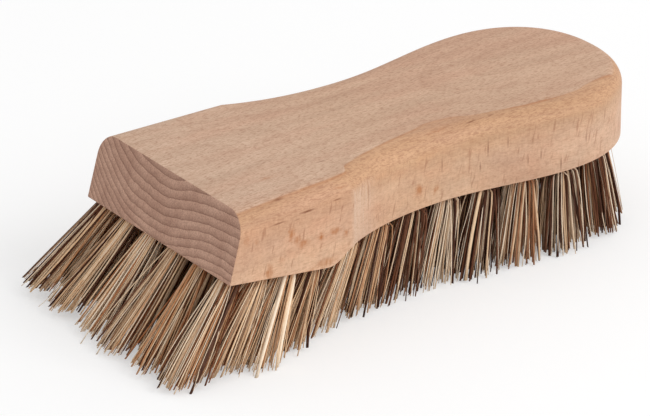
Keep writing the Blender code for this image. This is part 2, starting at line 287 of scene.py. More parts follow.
@dataclass(frozen=True)
class BlockShape:
    """The beech block's outline and profile, in the block's own frame.

    x = 0 is the front's lower edge, and z = 0 is the rear underside.
    """

    length: float = 0.1492
    front_width: float = 0.0661
    crease_width: float = 0.0620
    waist_width: float = 0.0480
    lobe_width: float = 0.0581
    crease_x: float = 0.0415
    waist_x: float = 0.0760
    lobe_x: float = 0.1178
    crease_slope: float = -0.47
    rear_exponent: float = 2.2
    thickness: float = 0.0200
    front_edge_rounding: float = 0.0066
    rear_edge_rounding: float = 0.0048
    front_lean_back: float = math.radians(15.5)
    front_edge_height: float = 0.0013
    heel_x: float = 0.0353
    heel_drop: float = 0.0043
    bend_reach: float = 0.0025

    def half_width(self, x: float) -> float:
        """Half the block's width.

        Args:
            x: Distance from the front's lower edge.

        Returns:
            The half width there.
        """
        front, crease, waist, lobe = (
            width / 2 for width in (self.front_width, self.crease_width, self.waist_width, self.lobe_width))
        if x <= self.crease_x:
            return front + (crease - front) * x / self.crease_x
        if x <= self.waist_x:
            span = self.waist_x - self.crease_x
            return self._cubic((x - self.crease_x) / span, crease, self.crease_slope * span, waist)
        if x <= self.lobe_x:
            return self._cubic((x - self.waist_x) / (self.lobe_x - self.waist_x), waist, 0.0, lobe)
        along = min((x - self.lobe_x) / (self.length - self.lobe_x), 1.0)
        return lobe * (1 - along ** self.rear_exponent) ** (1 / self.rear_exponent)

    @staticmethod
    def _cubic(t: float, start: float, start_slope: float, end: float) -> float:
        """Cubic from start to a level end, as t runs from 0 to 1."""
        return ((2 * t ** 3 - 3 * t ** 2 + 1) * start + (t ** 3 - 2 * t ** 2 + t) * start_slope
                + (3 * t ** 2 - 2 * t ** 3) * end)

    def rear_end_x(self, y: float) -> float:
        """Where the rear end of the outline is.

        Args:
            y: Distance from the centre line.

        Returns:
            Its distance from the front's lower edge.
        """
        across = min(abs(y) / (self.lobe_width / 2), 1.0)
        reach = (1 - across ** self.rear_exponent) ** (1 / self.rear_exponent)
        return self.lobe_x + (self.length - self.lobe_x) * reach

    def underside_z(self, x: float) -> float:
        """Height of the underside: the nose's bevel, the heel's rise and the flat rear, softly joined.

        Args:
            x: Distance from the front's lower edge.

        Returns:
            The underside's height there.
        """
        bevel = -(self.front_edge_height + self.heel_drop) / self.heel_x
        rise = self.heel_drop / (self.crease_x - self.heel_x)
        if x <= self.heel_x:
            height = self.front_edge_height + bevel * x
        else:
            height = min(rise * (x - self.crease_x), 0.0)
        for bend_x, turn in ((self.heel_x, rise - bevel), (self.crease_x, -rise)):
            height += turn * max(self.bend_reach - abs(x - bend_x), 0.0) ** 2 / (4 * self.bend_reach)
        return height

    def edge_rounding(self, x: float) -> float:
        """Radius of the rounded top edge at distance x from the front's lower edge."""
        change = self.rear_edge_rounding - self.front_edge_rounding
        return self.front_edge_rounding + change * x / self.length

    def front_face_x(self, z: float) -> float:
        """Where the leaning front face is at height z."""
        return (z - self.front_edge_height) * math.tan(self.front_lean_back)

    def outline(self, stations: Sequence[float], rear_steps: int) -> list[Vector]:
        """Plan outline, from the front's -Y corner round the rear to its +Y corner.

        Args:
            stations: Distances along a side at which it has a point.
            rear_steps: Points on each half of the rounded rear.

        Returns:
            The outline's points.
        """
        side = [Vector((x, -self.half_width(x))) for x in stations]
        power = 2 / self.rear_exponent
        for i in range(1, rear_steps + 1):
            angle = 0.5 * math.pi * i / rear_steps
            side.append(Vector((
                self.lobe_x + (self.length - self.lobe_x) * math.sin(angle) ** power,
                -(self.lobe_width / 2) * max(math.cos(angle), 0.0) ** power)))
        side[-1].y = 0.0
        return side + [Vector((p.x, -p.y)) for p in reversed(side[:-1])]

    def drawn_in(self, points: Sequence[Vector], inset: Profile, height: Profile) -> list[Vector]:
        """The outline drawn in, with its two ends on the leaning front face.

        Args:
            points: The outline.
            inset: How far it is drawn in, at each distance from the front.
            height: How high it is, at each distance from the front.

        Returns:
            The ring's points.
        """
        ring = []
        for before, here, after in zip(points, points[1:], points[2:]):
            edge_in, edge_out = (here - before).normalized(), (after - here).normalized()
            normal_in = Vector((-edge_in.y, edge_in.x))
            normal_out = Vector((-edge_out.y, edge_out.x))
            drawn = here + inset(here.x) * (normal_in + normal_out) / (1 + normal_in.dot(normal_out))
            ring.append(Vector((drawn.x, drawn.y, height(drawn.x))))
        front_x = self.front_face_x(height(0.0))
        taper = (self.crease_width - self.front_width) / 2 / self.crease_x
        end_y = self.half_width(front_x) - inset(0.0) * math.hypot(1, taper)
        return [Vector((front_x, -end_y, height(0.0)))] + ring + [Vector((front_x, end_y, height(0.0)))]


@dataclass(frozen=True)
class TuftPlace:
    """Where one tuft leaves the wood, and which way it points."""

    name: str
    mouth: Vector
    axis: Vector
    foot: Vector

    @property
    def along_x(self) -> Vector:
        """The way across the hole that is nearest the block's length."""
        return (Vector((1, 0, 0)) - self.axis * self.axis.x).normalized()

    @property
    def along_y(self) -> Vector:
        """The way across the hole that the anchor wire lies."""
        return self.along_x.cross(self.axis)


@dataclass(frozen=True)
class TuftLayout:
    """How the holes are laid out under the block, and how far each tuft leans."""

    shape: BlockShape
    hole_diameter: float = 0.0054
    hole_depth: float = 0.0100
    side_wall: float = 0.0025
    front_wall: float = 0.0009
    heel_wall: float = 0.0011
    crease_wall: float = 0.0008
    rear_wall: float = 0.0060
    last_row_step: float = 0.0115
    nose_rows: tuple[int, ...] = (6, 5, 5, 5)
    field_rows: tuple[int, ...] = (5, 4, 4, 4, 4, 5, 5, 4)
    last_row: int = 3
    fibre_reach: float = 0.0250
    front_lean: float = math.radians(37.0)
    rear_lean: float = math.radians(8.0)
    lean_exponent: float = 1.2
    side_lean: float = math.radians(4.0)
    nose_splay_minus_y: float = math.radians(6.0)
    nose_splay_plus_y: float = math.radians(15.0)
    nose_splay_length: float = 0.0320

    @property
    def radius(self) -> float:
        """A hole's radius."""
        return self.hole_diameter / 2

    @property
    def front_inset(self) -> float:
        """Distance of the first row from the front's lower edge, along which its slanted holes are ovals."""
        return self.radius / math.cos(self.front_lean) + self.front_wall

    @property
    def rear_inset(self) -> float:
        """Distance of the last row from the rear end."""
        return self.radius + self.rear_wall

    @staticmethod
    def _spaced(low: float, high: float, count: int) -> list[float]:
        """Count values from low to high, evenly spaced."""
        return [low + (high - low) * i / (count - 1) for i in range(count)]

    def rows(self) -> list[list[tuple[float, float]]]:
        """Where each hole's mouth is.

        Returns:
            The mouths row by row from the front, as (x, y).
        """
        shape = self.shape
        last_centre = shape.length - self.rear_inset
        nose = self._spaced(self.front_inset, shape.heel_x - self.radius - self.heel_wall, len(self.nose_rows))
        field_x = self._spaced(shape.crease_x + self.radius + self.crease_wall,
                               last_centre - self.last_row_step, len(self.field_rows))
        rows = []
        for x, count in zip(nose + field_x, self.nose_rows + self.field_rows):
            reach = shape.half_width(x) - self.radius - self.side_wall
            rows.append([(x, y) for y in self._spaced(-reach, reach, count)])
        step = rows[-1][1][1] - rows[-1][0][1]
        reach = step * (self.last_row - 1) / 2
        rows.append([(shape.rear_end_x(y) - self.rear_inset, y)
                     for y in self._spaced(-reach, reach, self.last_row)])
        return rows

    def place(self, name: str, x: float, y: float) -> TuftPlace:
        """The tuft whose hole is at (x, y).

        Args:
            name: The tuft's node in the frame.
            x, y: Middle of the hole's mouth, in the block's own frame.

        Returns:
            The tuft's place, in the block's own frame.
        """
        shape = self.shape
        along = (x - self.front_inset) / (shape.length - self.rear_inset - self.front_inset)
        lean = self.front_lean - (self.front_lean + self.rear_lean) * along ** self.lean_exponent
        outward = y / (shape.half_width(min(x, shape.lobe_x)) - self.radius - self.side_wall)
        splay = self.nose_splay_plus_y if y > 0 else self.nose_splay_minus_y
        splay *= math.exp((self.front_inset - x) / self.nose_splay_length)
        side_lean = outward * (self.side_lean + splay)
        mouth = Vector((x, y, shape.underside_z(x)))
        axis = Vector((-math.tan(lean), math.tan(side_lean), -1.0)).normalized()
        foot = mouth + axis * ((mouth.z + self.fibre_reach) / -axis.z)
        return TuftPlace(name, mouth, axis, foot)

    def places(self) -> list[TuftPlace]:
        """Every tuft's place, from the front row to the last."""
        return [self.place(f"row_{row:02d}_tuft_{number}", x, y)
                for row, roots in enumerate(self.rows(), start=1)
                for number, (x, y) in enumerate(roots, start=1)]


@dataclass(frozen=True)
class Spot:
    """A mark at one place in the wood. Its place and half sizes are in mm, in the block's own frame."""

    at: tuple[float, float, float]
    size: tuple[float, float, float]
    strength: float = 1.0


@dataclass(frozen=True)
class Fleck:
    """A kind of short mark: how many of its size fit a metre along each axis, its rarity and its strength."""

    per_metre: tuple[float, float, float]
    rarity: float
    strength: float


@dataclass(frozen=True)
class Mottle:
    """A soft unevenness of colour: lumps a metre along each axis, and the tints that they take in turn."""

    per_metre: tuple[float, float, float]
    detail: float
    roughness: float
    tints: Tints
    strength: float

    def over(self, graph: Graph, place: Socket, colour: Socket, where: Optional[Socket] = None) -> Socket:
        """Lays the mottle over a colour.

        Args:
            graph: The material's graph.
            place: The point that is coloured.
            colour: Its colour so far.
            where: A mask that is 1 where the mottle shows, if it doesn't show everywhere.

        Returns:
            The colour with its mottle.
        """
        tint = graph.ramp(graph.noise(place, self.per_metre, self.detail, self.roughness), self.tints)
        share = self.strength if where is None else graph.product(where, self.strength)
        return graph.blend(share, colour, tint, "MULTIPLY")


@dataclass(frozen=True)
class GrainPoint:
    """What a material along the grain knows of the point that it colours.

    Place is in metres, and x, y and z are the same in mm, in the block's own frame. Level, side and planed are
    masks: a level face that looks up, an upright face, and the planed face. Past is how far outside the planed
    face the point is, in mm.
    """

    place: Socket
    x: Socket
    y: Socket
    z: Socket
    level: Socket
    side: Socket
    past: Socket
    planed: Socket


class Cut(Enum):
    """How a face of the block is cut out of the wood, and its place among the block's materials."""

    LONG_GRAIN = 0
    END_GRAIN = 1


@dataclass(frozen=True)
class BeechFinish:
    """Raw beech: planed on top, moulded round the sides, and sawn across the grain in front."""

    planed: Colour = srgb(223, 191, 166)
    # The sides' colour, raised a little as painted light against the shade that the fibres cast low on the
    # sides
    moulded: Colour = srgb(235, 194, 163)
    rounded: Colour = srgb(215, 170, 132)
    across: Colour = srgb(206, 165, 143)
    across_line: Colour = srgb(136, 98, 80)
    late_wood: Colour = srgb(184, 140, 112)
    fleck: Colour = srgb(150, 98, 68)
    stain: Colour = srgb(172, 108, 60)
    scar: Colour = srgb(122, 72, 42)
    pinkish: Colour = srgb(208, 160, 133)
    # The painted highlight's colour, for the paler strip behind the crease
    painted_highlight_band: Colour = srgb(212, 182, 158)
    # Rings passed at a height, planed half width at a distance from the front, and the rings' sag across and
    # rise along the board: all in mm
    rings_below: Curve = (
        (-20, 0.97), (-10, 7.52), (0, 13.15), (10, 17.91), (20, 22.12), (30, 26.0), (40, 29.8))
    planed_half_width: Curve = (
        (-15, 31.0), (24, 27.8), (41, 26.6), (44, 23.6), (50, 21.4), (60, 18.9), (72, 16.8), (78, 15.6),
        (83, 16.0), (90, 18.6), (100, 20.9), (111, 22.8), (121, 23.2), (127, 21.9), (132, 20.9),
        (137, 20.2), (150, 20.2))
    ring_sag: Curve = (
        (-36, 5.4), (-28, 5.2), (-20.5, 4.7), (-13.5, 3.3), (-6.5, 1.4), (-2, 0.3), (2, 0.0), (8, 0.5),
        (15, 1.8), (22, 5.0), (29, 9.8), (36, 16.0))
    ring_rise: Curve = (
        (-15, -5.5), (11, -4.7), (35, -2.0), (55, 0.0), (75, 0.0), (85, -0.2), (94, -1.1),
        (103, -2.6), (113, -3.6), (122, -4.1), (150, -4.6))
    ring_wander: float = 2.4
    ring_tremble: float = 0.7
    # How strongly the rings show: their broad part, their dark edge, and both of these on the end grain
    ring_shares: tuple[float, float] = (0.17, 0.07)
    end_ring_shares: tuple[float, float] = (0.62, 0.26)
    # How much of the rings and of the flecks is left on the sides
    rings_beside: float = 0.22
    flecks_beside: float = 0.55
    # How much further out the planed face reaches on the +Y side, in mm
    planed_further: float = 5.0
    # Pinkish patches, and how many more there are on the +Y side
    pinkish_share: float = 0.45
    pinkish_further: float = 0.16
    # What the cutter left: a rim by its distance out of the planed face, and on the -Y side a thin line; there
    # too a paler strip, painted highlight where the side turns to the light behind the crease; strip and line
    # by their distances from the front, all in mm
    rim: Band = ((-0.4, 0.1), (1.2, 0.4))
    rim_share: float = 0.50
    strip: Band = ((41.2, 42.6), (54.0, 46.5))
    strip_shares: tuple[float, float] = (0.35, 0.75)
    strip_line: Band = ((49.0, 49.3), (49.6, 49.35))
    strip_line_share: float = 0.5
    ripple_share: float = 0.06
    # Tints at shares of the board's length, on the planed face and on the sides
    tint_length: float = 150.0
    planed_tints: Tints = (
        (0.10, srgb(255, 255, 255)), (0.42, srgb(249, 244, 238)), (1.0, srgb(247, 241, 236)))
    side_tints: Tints = (
        (0.20, srgb(255, 255, 255)), (0.33, srgb(245, 245, 245)), (0.44, srgb(246, 246, 242)),
        (0.68, srgb(240, 243, 247)), (0.90, srgb(246, 249, 253)))
    drift: Mottle = Mottle((30, 260, 260), 4.0, 0.65, (
        (0.3, srgb(232, 229, 226)), (0.7, srgb(255, 255, 255))), 0.9)
    cloud: Mottle = Mottle((120, 120, 170), 3.0, 0.5, (
        (0.34, srgb(255, 246, 238)), (0.5, srgb(255, 254, 250)), (0.66, srgb(246, 247, 246))), 0.6)
    speck: Mottle = Mottle((1500, 1500, 800), 3.0, 0.7, (
        (0.3, srgb(232, 227, 222)), (0.7, srgb(255, 255, 255))), 0.8)
    sawn_patches: Mottle = Mottle((100, 160, 160), 3.0, 0.5, (
        (0.35, srgb(234, 228, 226)), (0.65, srgb(255, 255, 255))), 0.9)
    sawn_streaks: tuple[Fleck, ...] = (Fleck((200, 2600, 420), 0.56, 0.22),)
    flecks: tuple[Fleck, ...] = (
        Fleck((330, 3600, 3600), 0.60, 0.50), Fleck((190, 2300, 2300), 0.70, 0.72),
        Fleck((420, 5200, 5200), 0.54, 0.34), Fleck((620, 2300, 2300), 0.54, 0.46))
    upright_flecks: tuple[Fleck, ...] = (Fleck((1150, 500, 190), 0.62, 0.52),)
    upright_lean: float = -0.2
    # How far the stains' edges stray, in mm
    stain_straying: float = 2.4
    stains: tuple[Spot, ...] = (
        Spot((20.5, -32.0, 9.9), (1.4, 4.0, 2.6), 0.95), Spot((22.6, -31.9, 7.7), (1.4, 4.0, 1.4), 0.8),
        Spot((24.6, -31.8, 6.0), (3.2, 4.0, 1.9), 0.9), Spot((30.6, -31.5, 6.1), (1.4, 4.0, 1.4), 1.0),
        Spot((35.4, -31.2, 6.3), (2.6, 4.0, 1.5), 0.8), Spot((38.8, -31.1, 4.6), (1.2, 4.0, 1.5), 0.75),
        Spot((13.1, -32.3, 1.6), (1.7, 4.0, 3.4), 1.0), Spot((32.4, -31.4, -2.0), (5.0, 4.0, 1.9), 0.8),
        Spot((27.0, -31.5, -2.6), (3.0, 4.0, 1.1), 0.7), Spot((5.8, -32.7, 12.7), (1.4, 4.0, 2.6), 0.5),
        Spot((68.5, -24.2, 5.9), (1.8, 4.0, 2.6), 0.9), Spot((74.5, -23.9, 4.4), (1.1, 4.0, 2.4), 0.8),
        Spot((9.0, -32.5, 11.2), (0.9, 4.0, 1.6), 0.4), Spot((17.2, -32.2, 3.4), (1.2, 4.0, 1.6), 0.4),
        Spot((38.0, -29.7, 17.9), (2.8, 1.4, 0.6), 0.5), Spot((22.8, -18.0, 20.0), (3.6, 0.8, 2.0), 0.45),
        Spot((112.0, -22.6, 19.9), (9.0, 0.8, 1.0), 0.6), Spot((77.0, -20.5, 19.9), (5.0, 0.7, 1.0), 0.5))
    scars: tuple[Spot, ...] = (
        Spot((26.1, -31.6, 14.9), (3.6, 2.0, 0.46), 1.0), Spot((36.2, -31.1, 15.2), (2.4, 2.0, 0.34), 0.8),
        Spot((16.4, -32.1, 14.4), (3.6, 2.0, 0.36), 0.8), Spot((18.6, -28.6, 19.2), (2.6, 0.6, 1.2), 0.8),
        Spot((22.4, -31.9, 13.6), (1.6, 2.0, 0.26), 0.5), Spot((40.7, -18.0, 20.0), (2.2, 0.30, 2.0), 0.9),
        Spot((88.1, -21.4, 19.6), (3.0, 0.42, 1.0), 0.9), Spot((94.7, -21.7, 19.9), (1.6, 0.4, 1.0), 0.7),
        Spot((90.9, -25.3, 12.5), (0.34, 2.0, 4.0), 0.75), Spot((96.9, -26.5, 13.0), (0.32, 2.0, 2.6), 0.65),
        Spot((88.6, -25.0, 7.4), (0.38, 2.0, 2.2), 0.65), Spot((107.1, -28.2, 6.9), (0.34, 2.0, 2.4), 0.7),
        Spot((113.6, -28.9, 2.8), (0.38, 2.0, 3.2), 0.8), Spot((103.1, -27.6, 6.3), (0.32, 2.0, 2.2), 0.6),
        Spot((122.3, -28.8, 8.0), (0.34, 2.0, 2.4), 0.65), Spot((76.4, -24.0, 11.0), (0.34, 2.0, 3.2), 0.6))

    def growth_rings(self) -> Effect:
        """The rings as surfaces through the whole board, so that they meet at every edge.

        Returns:
            A group that gives how late in its ring the wood at a point grew, from 0 to 1.
        """
        effect = Effect("growth rings", {"Position": ("NodeSocketVector", None)}, {"Late": "NodeSocketFloat"})
        graph = effect.graph
        in_mm = graph.scaled(effect.given["Position"], IN_MM)
        x, y, z = graph.parts(in_mm)
        across = graph.curve(y, self.ring_sag)
        along = graph.curve(x, self.ring_rise)
        wander = graph.noise(in_mm, (0.02, 0.05, 0.05))
        tremble = graph.noise(in_mm, (0.05, 0.3, 0.3))
        level = graph.maths("SUBTRACT", graph.maths("SUBTRACT", z, across), along)
        level = graph.maths("MULTIPLY_ADD", wander, self.ring_wander, level)
        level = graph.maths("MULTIPLY_ADD", tremble, self.ring_tremble, level)
        # Rings passed on the way up: the tree grew them narrower towards the underside
        passed = graph.curve(level, self.rings_below)
        effect.put_out("Late", graph.maths("SUBTRACT", 1.0, graph.maths("FRACT", passed)))
        return effect

    def rays(self) -> Effect:
        """Short thin marks, as beech has all over.

        Returns:
            A group that gives 1 inside a mark and 0 outside it.
        """
        effect = Effect("rays", {
            "Position": ("NodeSocketVector", None), "Per Metre": ("NodeSocketVector", None),
            "Rarity": ("NodeSocketFloat", 0.62)}, {"Mark": "NodeSocketFloat"})
        graph = effect.graph
        noise = graph.noise(effect.given["Position"], effect.given["Per Metre"], detail=1.0)
        inputs = {"Value": noise, "From Min": effect.given["Rarity"], "To Min": 0.0, "To Max": 1.0,
                  "From Max": graph.maths("ADD", effect.given["Rarity"], 0.12)}
        mark = graph.add("ShaderNodeMapRange", inputs, interpolation_type="SMOOTHSTEP").outputs[0]
        effect.put_out("Mark", mark)
        return effect

    def spot(self) -> Effect:
        """One mark at a place of its own.

        Returns:
            A group that gives 1 at the mark's middle and 0 outside it.
        """
        effect = Effect("spot", {
            "Position": ("NodeSocketVector", None), "At": ("NodeSocketVector", None),
            "Size": ("NodeSocketVector", None)}, {"Mark": "NodeSocketFloat"})
        graph = effect.graph
        away = graph.add("ShaderNodeVectorMath", {0: effect.given["Position"], 1: effect.given["At"]},
                         operation="SUBTRACT").outputs[0]
        share = graph.add("ShaderNodeVectorMath", {0: away, 1: effect.given["Size"]},
                          operation="DIVIDE").outputs[0]
        distance = graph.add("ShaderNodeVectorMath", {0: share}, operation="LENGTH").outputs["Value"]
        effect.put_out("Mark", graph.step(distance, 1.0, 0.0))
        return effect

    def materials(self, origin: Vector) -> dict[Cut, bpy.types.Material]:
        """The block's two materials, which share their rings and rays, for a block whose frame is at origin."""
        rings, rays = self.growth_rings(), self.rays()
        return {Cut.LONG_GRAIN: self._long_grain(origin, rings, rays),
                Cut.END_GRAIN: self._end_grain(origin, rings, rays)}

    @staticmethod
    def _spotted(graph: Graph, spot: Effect, point: Socket, spots: Sequence[Spot]) -> Socket:
        """How strongly any of some spots marks a point, given in mm."""
        return graph.largest(*(
            graph.product(spot.place(graph, {"Position": point, "At": one.at, "Size": one.size})["Mark"],
                          one.strength) for one in spots))

    @staticmethod
    def _flecked(graph: Graph, rays: Effect, place: Socket, flecks: Sequence[Fleck]) -> Socket:
        """How strongly any of some kinds of fleck marks a point."""
        return graph.largest(*(
            graph.product(rays.place(graph, {"Position": place, "Per Metre": fleck.per_metre,
                                             "Rarity": fleck.rarity})["Mark"], fleck.strength)
            for fleck in flecks))

    def _grain_point(self, graph: Graph, origin: Vector) -> GrainPoint:
        """Measures the point that a material along the grain colours.

        Args:
            graph: The material's graph.
            origin: Where the block's own frame is.

        Returns:
            What the rest of the material needs to know of the point.
        """
        geometry = graph.add("ShaderNodeNewGeometry")
        place = graph.shifted(geometry.outputs["Position"], origin)
        x, y, z = graph.parts(graph.scaled(place, IN_MM))
        normal_z = graph.parts(geometry.outputs["Normal"])[2]
        level = graph.step(normal_z, 0.8, 0.95)
        side = graph.step(graph.maths("ABSOLUTE", normal_z), 0.5, 0.1)
        past = graph.maths("SUBTRACT", graph.maths("ABSOLUTE", y), graph.curve(x, self.planed_half_width))
        past = graph.maths("MULTIPLY_ADD", graph.step(y, -2.0, 8.0), -self.planed_further, past)
        planed = graph.product(graph.step(past, 0.5, -0.3), level)
        return GrainPoint(place, x, y, z, level, side, past, planed)

    def _zones(self, graph: Graph, at: GrainPoint) -> Socket:
        """Colours the wood by how it was cut: paler low on the sides, which is painted light against the
        fibres' shade, warmer up to the rounding, a little darker behind the nose, and with pinkish patches.

        Args:
            graph: The material's graph.
            at: The point that it colours.

        Returns:
            The colour.
        """
        # Paler sides low down, painted light against the shade of the fibres, turning to the warmer rounding
        # above
        colour = graph.blend(graph.step(at.z, 8.0, 18.5), self.moulded, self.rounded)
        colour = graph.blend(at.planed, colour, self.planed)
        along = graph.maths("DIVIDE", at.x, self.tint_length)
        colour = graph.blend(at.planed, colour, graph.ramp(along, self.planed_tints), "MULTIPLY")
        colour = graph.blend(at.side, colour, graph.ramp(along, self.side_tints), "MULTIPLY")
        patches = graph.noise(at.place, (22, 90, 60), detail=3.0, roughness=0.6)
        more = graph.product(graph.step(at.y, -14.0, 20.0), graph.step(at.x, 20.0, 60.0))
        patches = graph.step(graph.maths("MULTIPLY_ADD", more, self.pinkish_further, patches), 0.45, 0.72)
        return graph.blend(graph.product(patches, self.pinkish_share), colour, self.pinkish)

    @staticmethod
    def _ringed(graph: Graph, late: Socket, powers: tuple[float, float], shares: tuple[float, float]) -> Socket:
        """How strongly the rings mark a point, by the broad part of each and by its dark edge."""
        broad, edge = (graph.maths("POWER", late, power) for power in powers)
        return graph.maths("MULTIPLY_ADD", broad, shares[0], graph.product(edge, shares[1]))

    def _figure(self, graph: Graph, at: GrainPoint, rings: Effect, colour: Socket) -> Socket:
        """Adds the growth rings, which hardly show on the sides, and the mottles.

        Args:
            graph: The material's graph.
            at: The point that it colours.
            rings: The growth rings.
            colour: The colour so far.

        Returns:
            The colour with them.
        """
        late = rings.place(graph, {"Position": at.place})["Late"]
        figure = self._ringed(graph, late, (2.0, 10.0), self.ring_shares)
        figure = graph.product(figure, graph.between(at.side, 1.0, self.rings_beside))
        colour = graph.blend(figure, colour, self.late_wood)
        colour = self.drift.over(graph, at.place, colour)
        colour = self.cloud.over(graph, at.place, colour, at.side)
        return self.speck.over(graph, at.place, colour)

    def _cutter_marks(self, graph: Graph, at: GrainPoint, rays: Effect, colour: Socket) -> Socket:
        """Adds what the moulding cutter left on the sides and along the planed face's edge, and a painted
        highlight behind the crease.

        Args:
            graph: The material's graph.
            at: The point that it colours.
            rays: Short thin marks.
            colour: The colour so far.

        Returns:
            The colour with them.
        """
        # The rounding's upper edge is cut across the fibres and takes up more colour
        broken = graph.step(graph.noise(at.place, (60, 300, 300)), 0.40, 0.62)
        rim = graph.product(graph.band(at.past, self.rim), at.level, broken, self.rim_share)
        colour = graph.blend(rim, colour, self.stain)

        # A paler strip behind the crease of the -Y side, painted highlight where the side turns to the light,
        # and a fine upright ripple and flecks all along
        near = graph.product(at.side, graph.step(at.y, 0.0, -1.0))
        waver = graph.maths("MULTIPLY_ADD", graph.noise(at.place, (1, 1, 130)), 1.6, at.x)
        combed = graph.between(graph.step(self._comb(graph, at), 0.6, 0.4), *self.strip_shares)
        strip = graph.product(graph.band(waver, self.strip), combed, near)
        colour = graph.blend(strip, colour, self.painted_highlight_band)
        line = graph.product(graph.band(waver, self.strip_line), graph.step(at.z, 6.0, 9.0), near,
                             self.strip_line_share)
        ripple = graph.step(graph.noise(at.place, (1300, 1300, 45)), 0.48, 0.70)
        lean = graph.add("ShaderNodeCombineXYZ", {"X": graph.product(at.z, self.upright_lean / IN_MM[0])})
        leant = graph.add("ShaderNodeVectorMath", {0: at.place, 1: lean.outputs[0]}).outputs[0]
        upright = graph.product(self._flecked(graph, rays, leant, self.upright_flecks), at.side)
        upright = graph.largest(upright, graph.product(ripple, at.side, self.ripple_share), line)
        return graph.blend(upright, colour, self.fleck)

    @staticmethod
    def _comb(graph: Graph, at: GrainPoint) -> Socket:
        """Fine upright lines, from 0 to 1."""
        return graph.noise(at.place, (1500, 1500, 60))

    def _blemishes(self, graph: Graph, at: GrainPoint, colour: Socket) -> Socket:
        """Adds the stains, whose edges are rough, and the sharp scars.

        Args:
            graph: The material's graph.
            at: The point that it colours.
            colour: The colour so far.

        Returns:
            The colour with them.
        """
        spot = self.spot()
        in_mm = graph.scaled(at.place, IN_MM)
        rough = graph.add("ShaderNodeTexNoise", {
            "Vector": graph.scaled(at.place, (700, 700, 700)), "Scale": 1.0, "Detail": 2.0}).outputs["Color"]
        strayed = graph.add("ShaderNodeVectorMath", {0: rough, 1: (self.stain_straying,) * 3, 2: in_mm},
                            operation="MULTIPLY_ADD").outputs[0]
        strayed = graph.shifted(strayed, Vector((self.stain_straying / 2,) * 3))
        combed = graph.between(graph.step(self._comb(graph, at), 0.35, 0.6), 0.5, 1.0)
        stained = graph.product(self._spotted(graph, spot, strayed, self.stains), combed)
        colour = graph.blend(stained, colour, self.stain)
        return graph.blend(self._spotted(graph, spot, in_mm, self.scars), colour, self.scar)

    def _long_grain(self, origin: Vector, rings: Effect, rays: Effect) -> bpy.types.Material:
        """Wood cut along its grain: the top, the sides and the underside.

        Args:
            origin: Where the block's own frame is.
            rings: The growth rings.
            rays: Short thin marks.

        Returns:
            The material.
        """
        material, graph, shader = new_material("beech along the grain")
        at = self._grain_point(graph, origin)
        colour = self._figure(graph, at, rings, self._zones(graph, at))
        colour = self._cutter_marks(graph, at, rays, colour)
        flecked = graph.product(self._flecked(graph, rays, at.place, self.flecks),
                                graph.between(at.side, 1.0, self.flecks_beside))
        colour = self._blemishes(graph, at, graph.blend(flecked, colour, self.fleck))
        grain = graph.noise(at.place, (300, 5000, 5000))
        bump = graph.add("ShaderNodeBump", {"Strength": 0.25, "Distance": 0.00008, "Height": grain})
        graph.feed(shader, {"Base Color": colour, "Roughness": graph.between(grain, 0.52, 0.66),
                            "Normal": bump.outputs[0], "Specular IOR Level": 0.35})
        return material

    def _end_grain(self, origin: Vector, rings: Effect, rays: Effect) -> bpy.types.Material:
        """Wood cut across its grain: the front face, with its rings as curved lines.

        Args:
            origin: Where the block's own frame is.
            rings: The growth rings.
            rays: Short thin marks.

        Returns:
            The material.
        """
        material, graph, shader = new_material("beech across the grain")
        place = graph.shifted(graph.add("ShaderNodeNewGeometry").outputs["Position"], origin)
        late = rings.place(graph, {"Position": place})["Late"]
        line = self._ringed(graph, late, (1.7, 12.0), self.end_ring_shares)
        colour = graph.blend(line, self.across, self.across_line)
        colour = self.sawn_patches.over(graph, place, colour)
        pores = graph.noise(place, (2600, 2600, 2600))
        tint = graph.ramp(pores, ((0.35, srgb(214, 210, 208)), (0.6, srgb(255, 255, 255))))
        colour = graph.blend(0.8, colour, tint, "MULTIPLY")
        colour = graph.blend(self._flecked(graph, rays, place, self.sawn_streaks), colour, self.across_line)
        bump = graph.add("ShaderNodeBump", {"Strength": 0.35, "Distance": 0.0001, "Height": pores})
        graph.feed(shader, {"Base Color": colour, "Roughness": graph.between(pores, 0.62, 0.74),
                            "Normal": bump.outputs[0], "Specular IOR Level": 0.25})
        return material


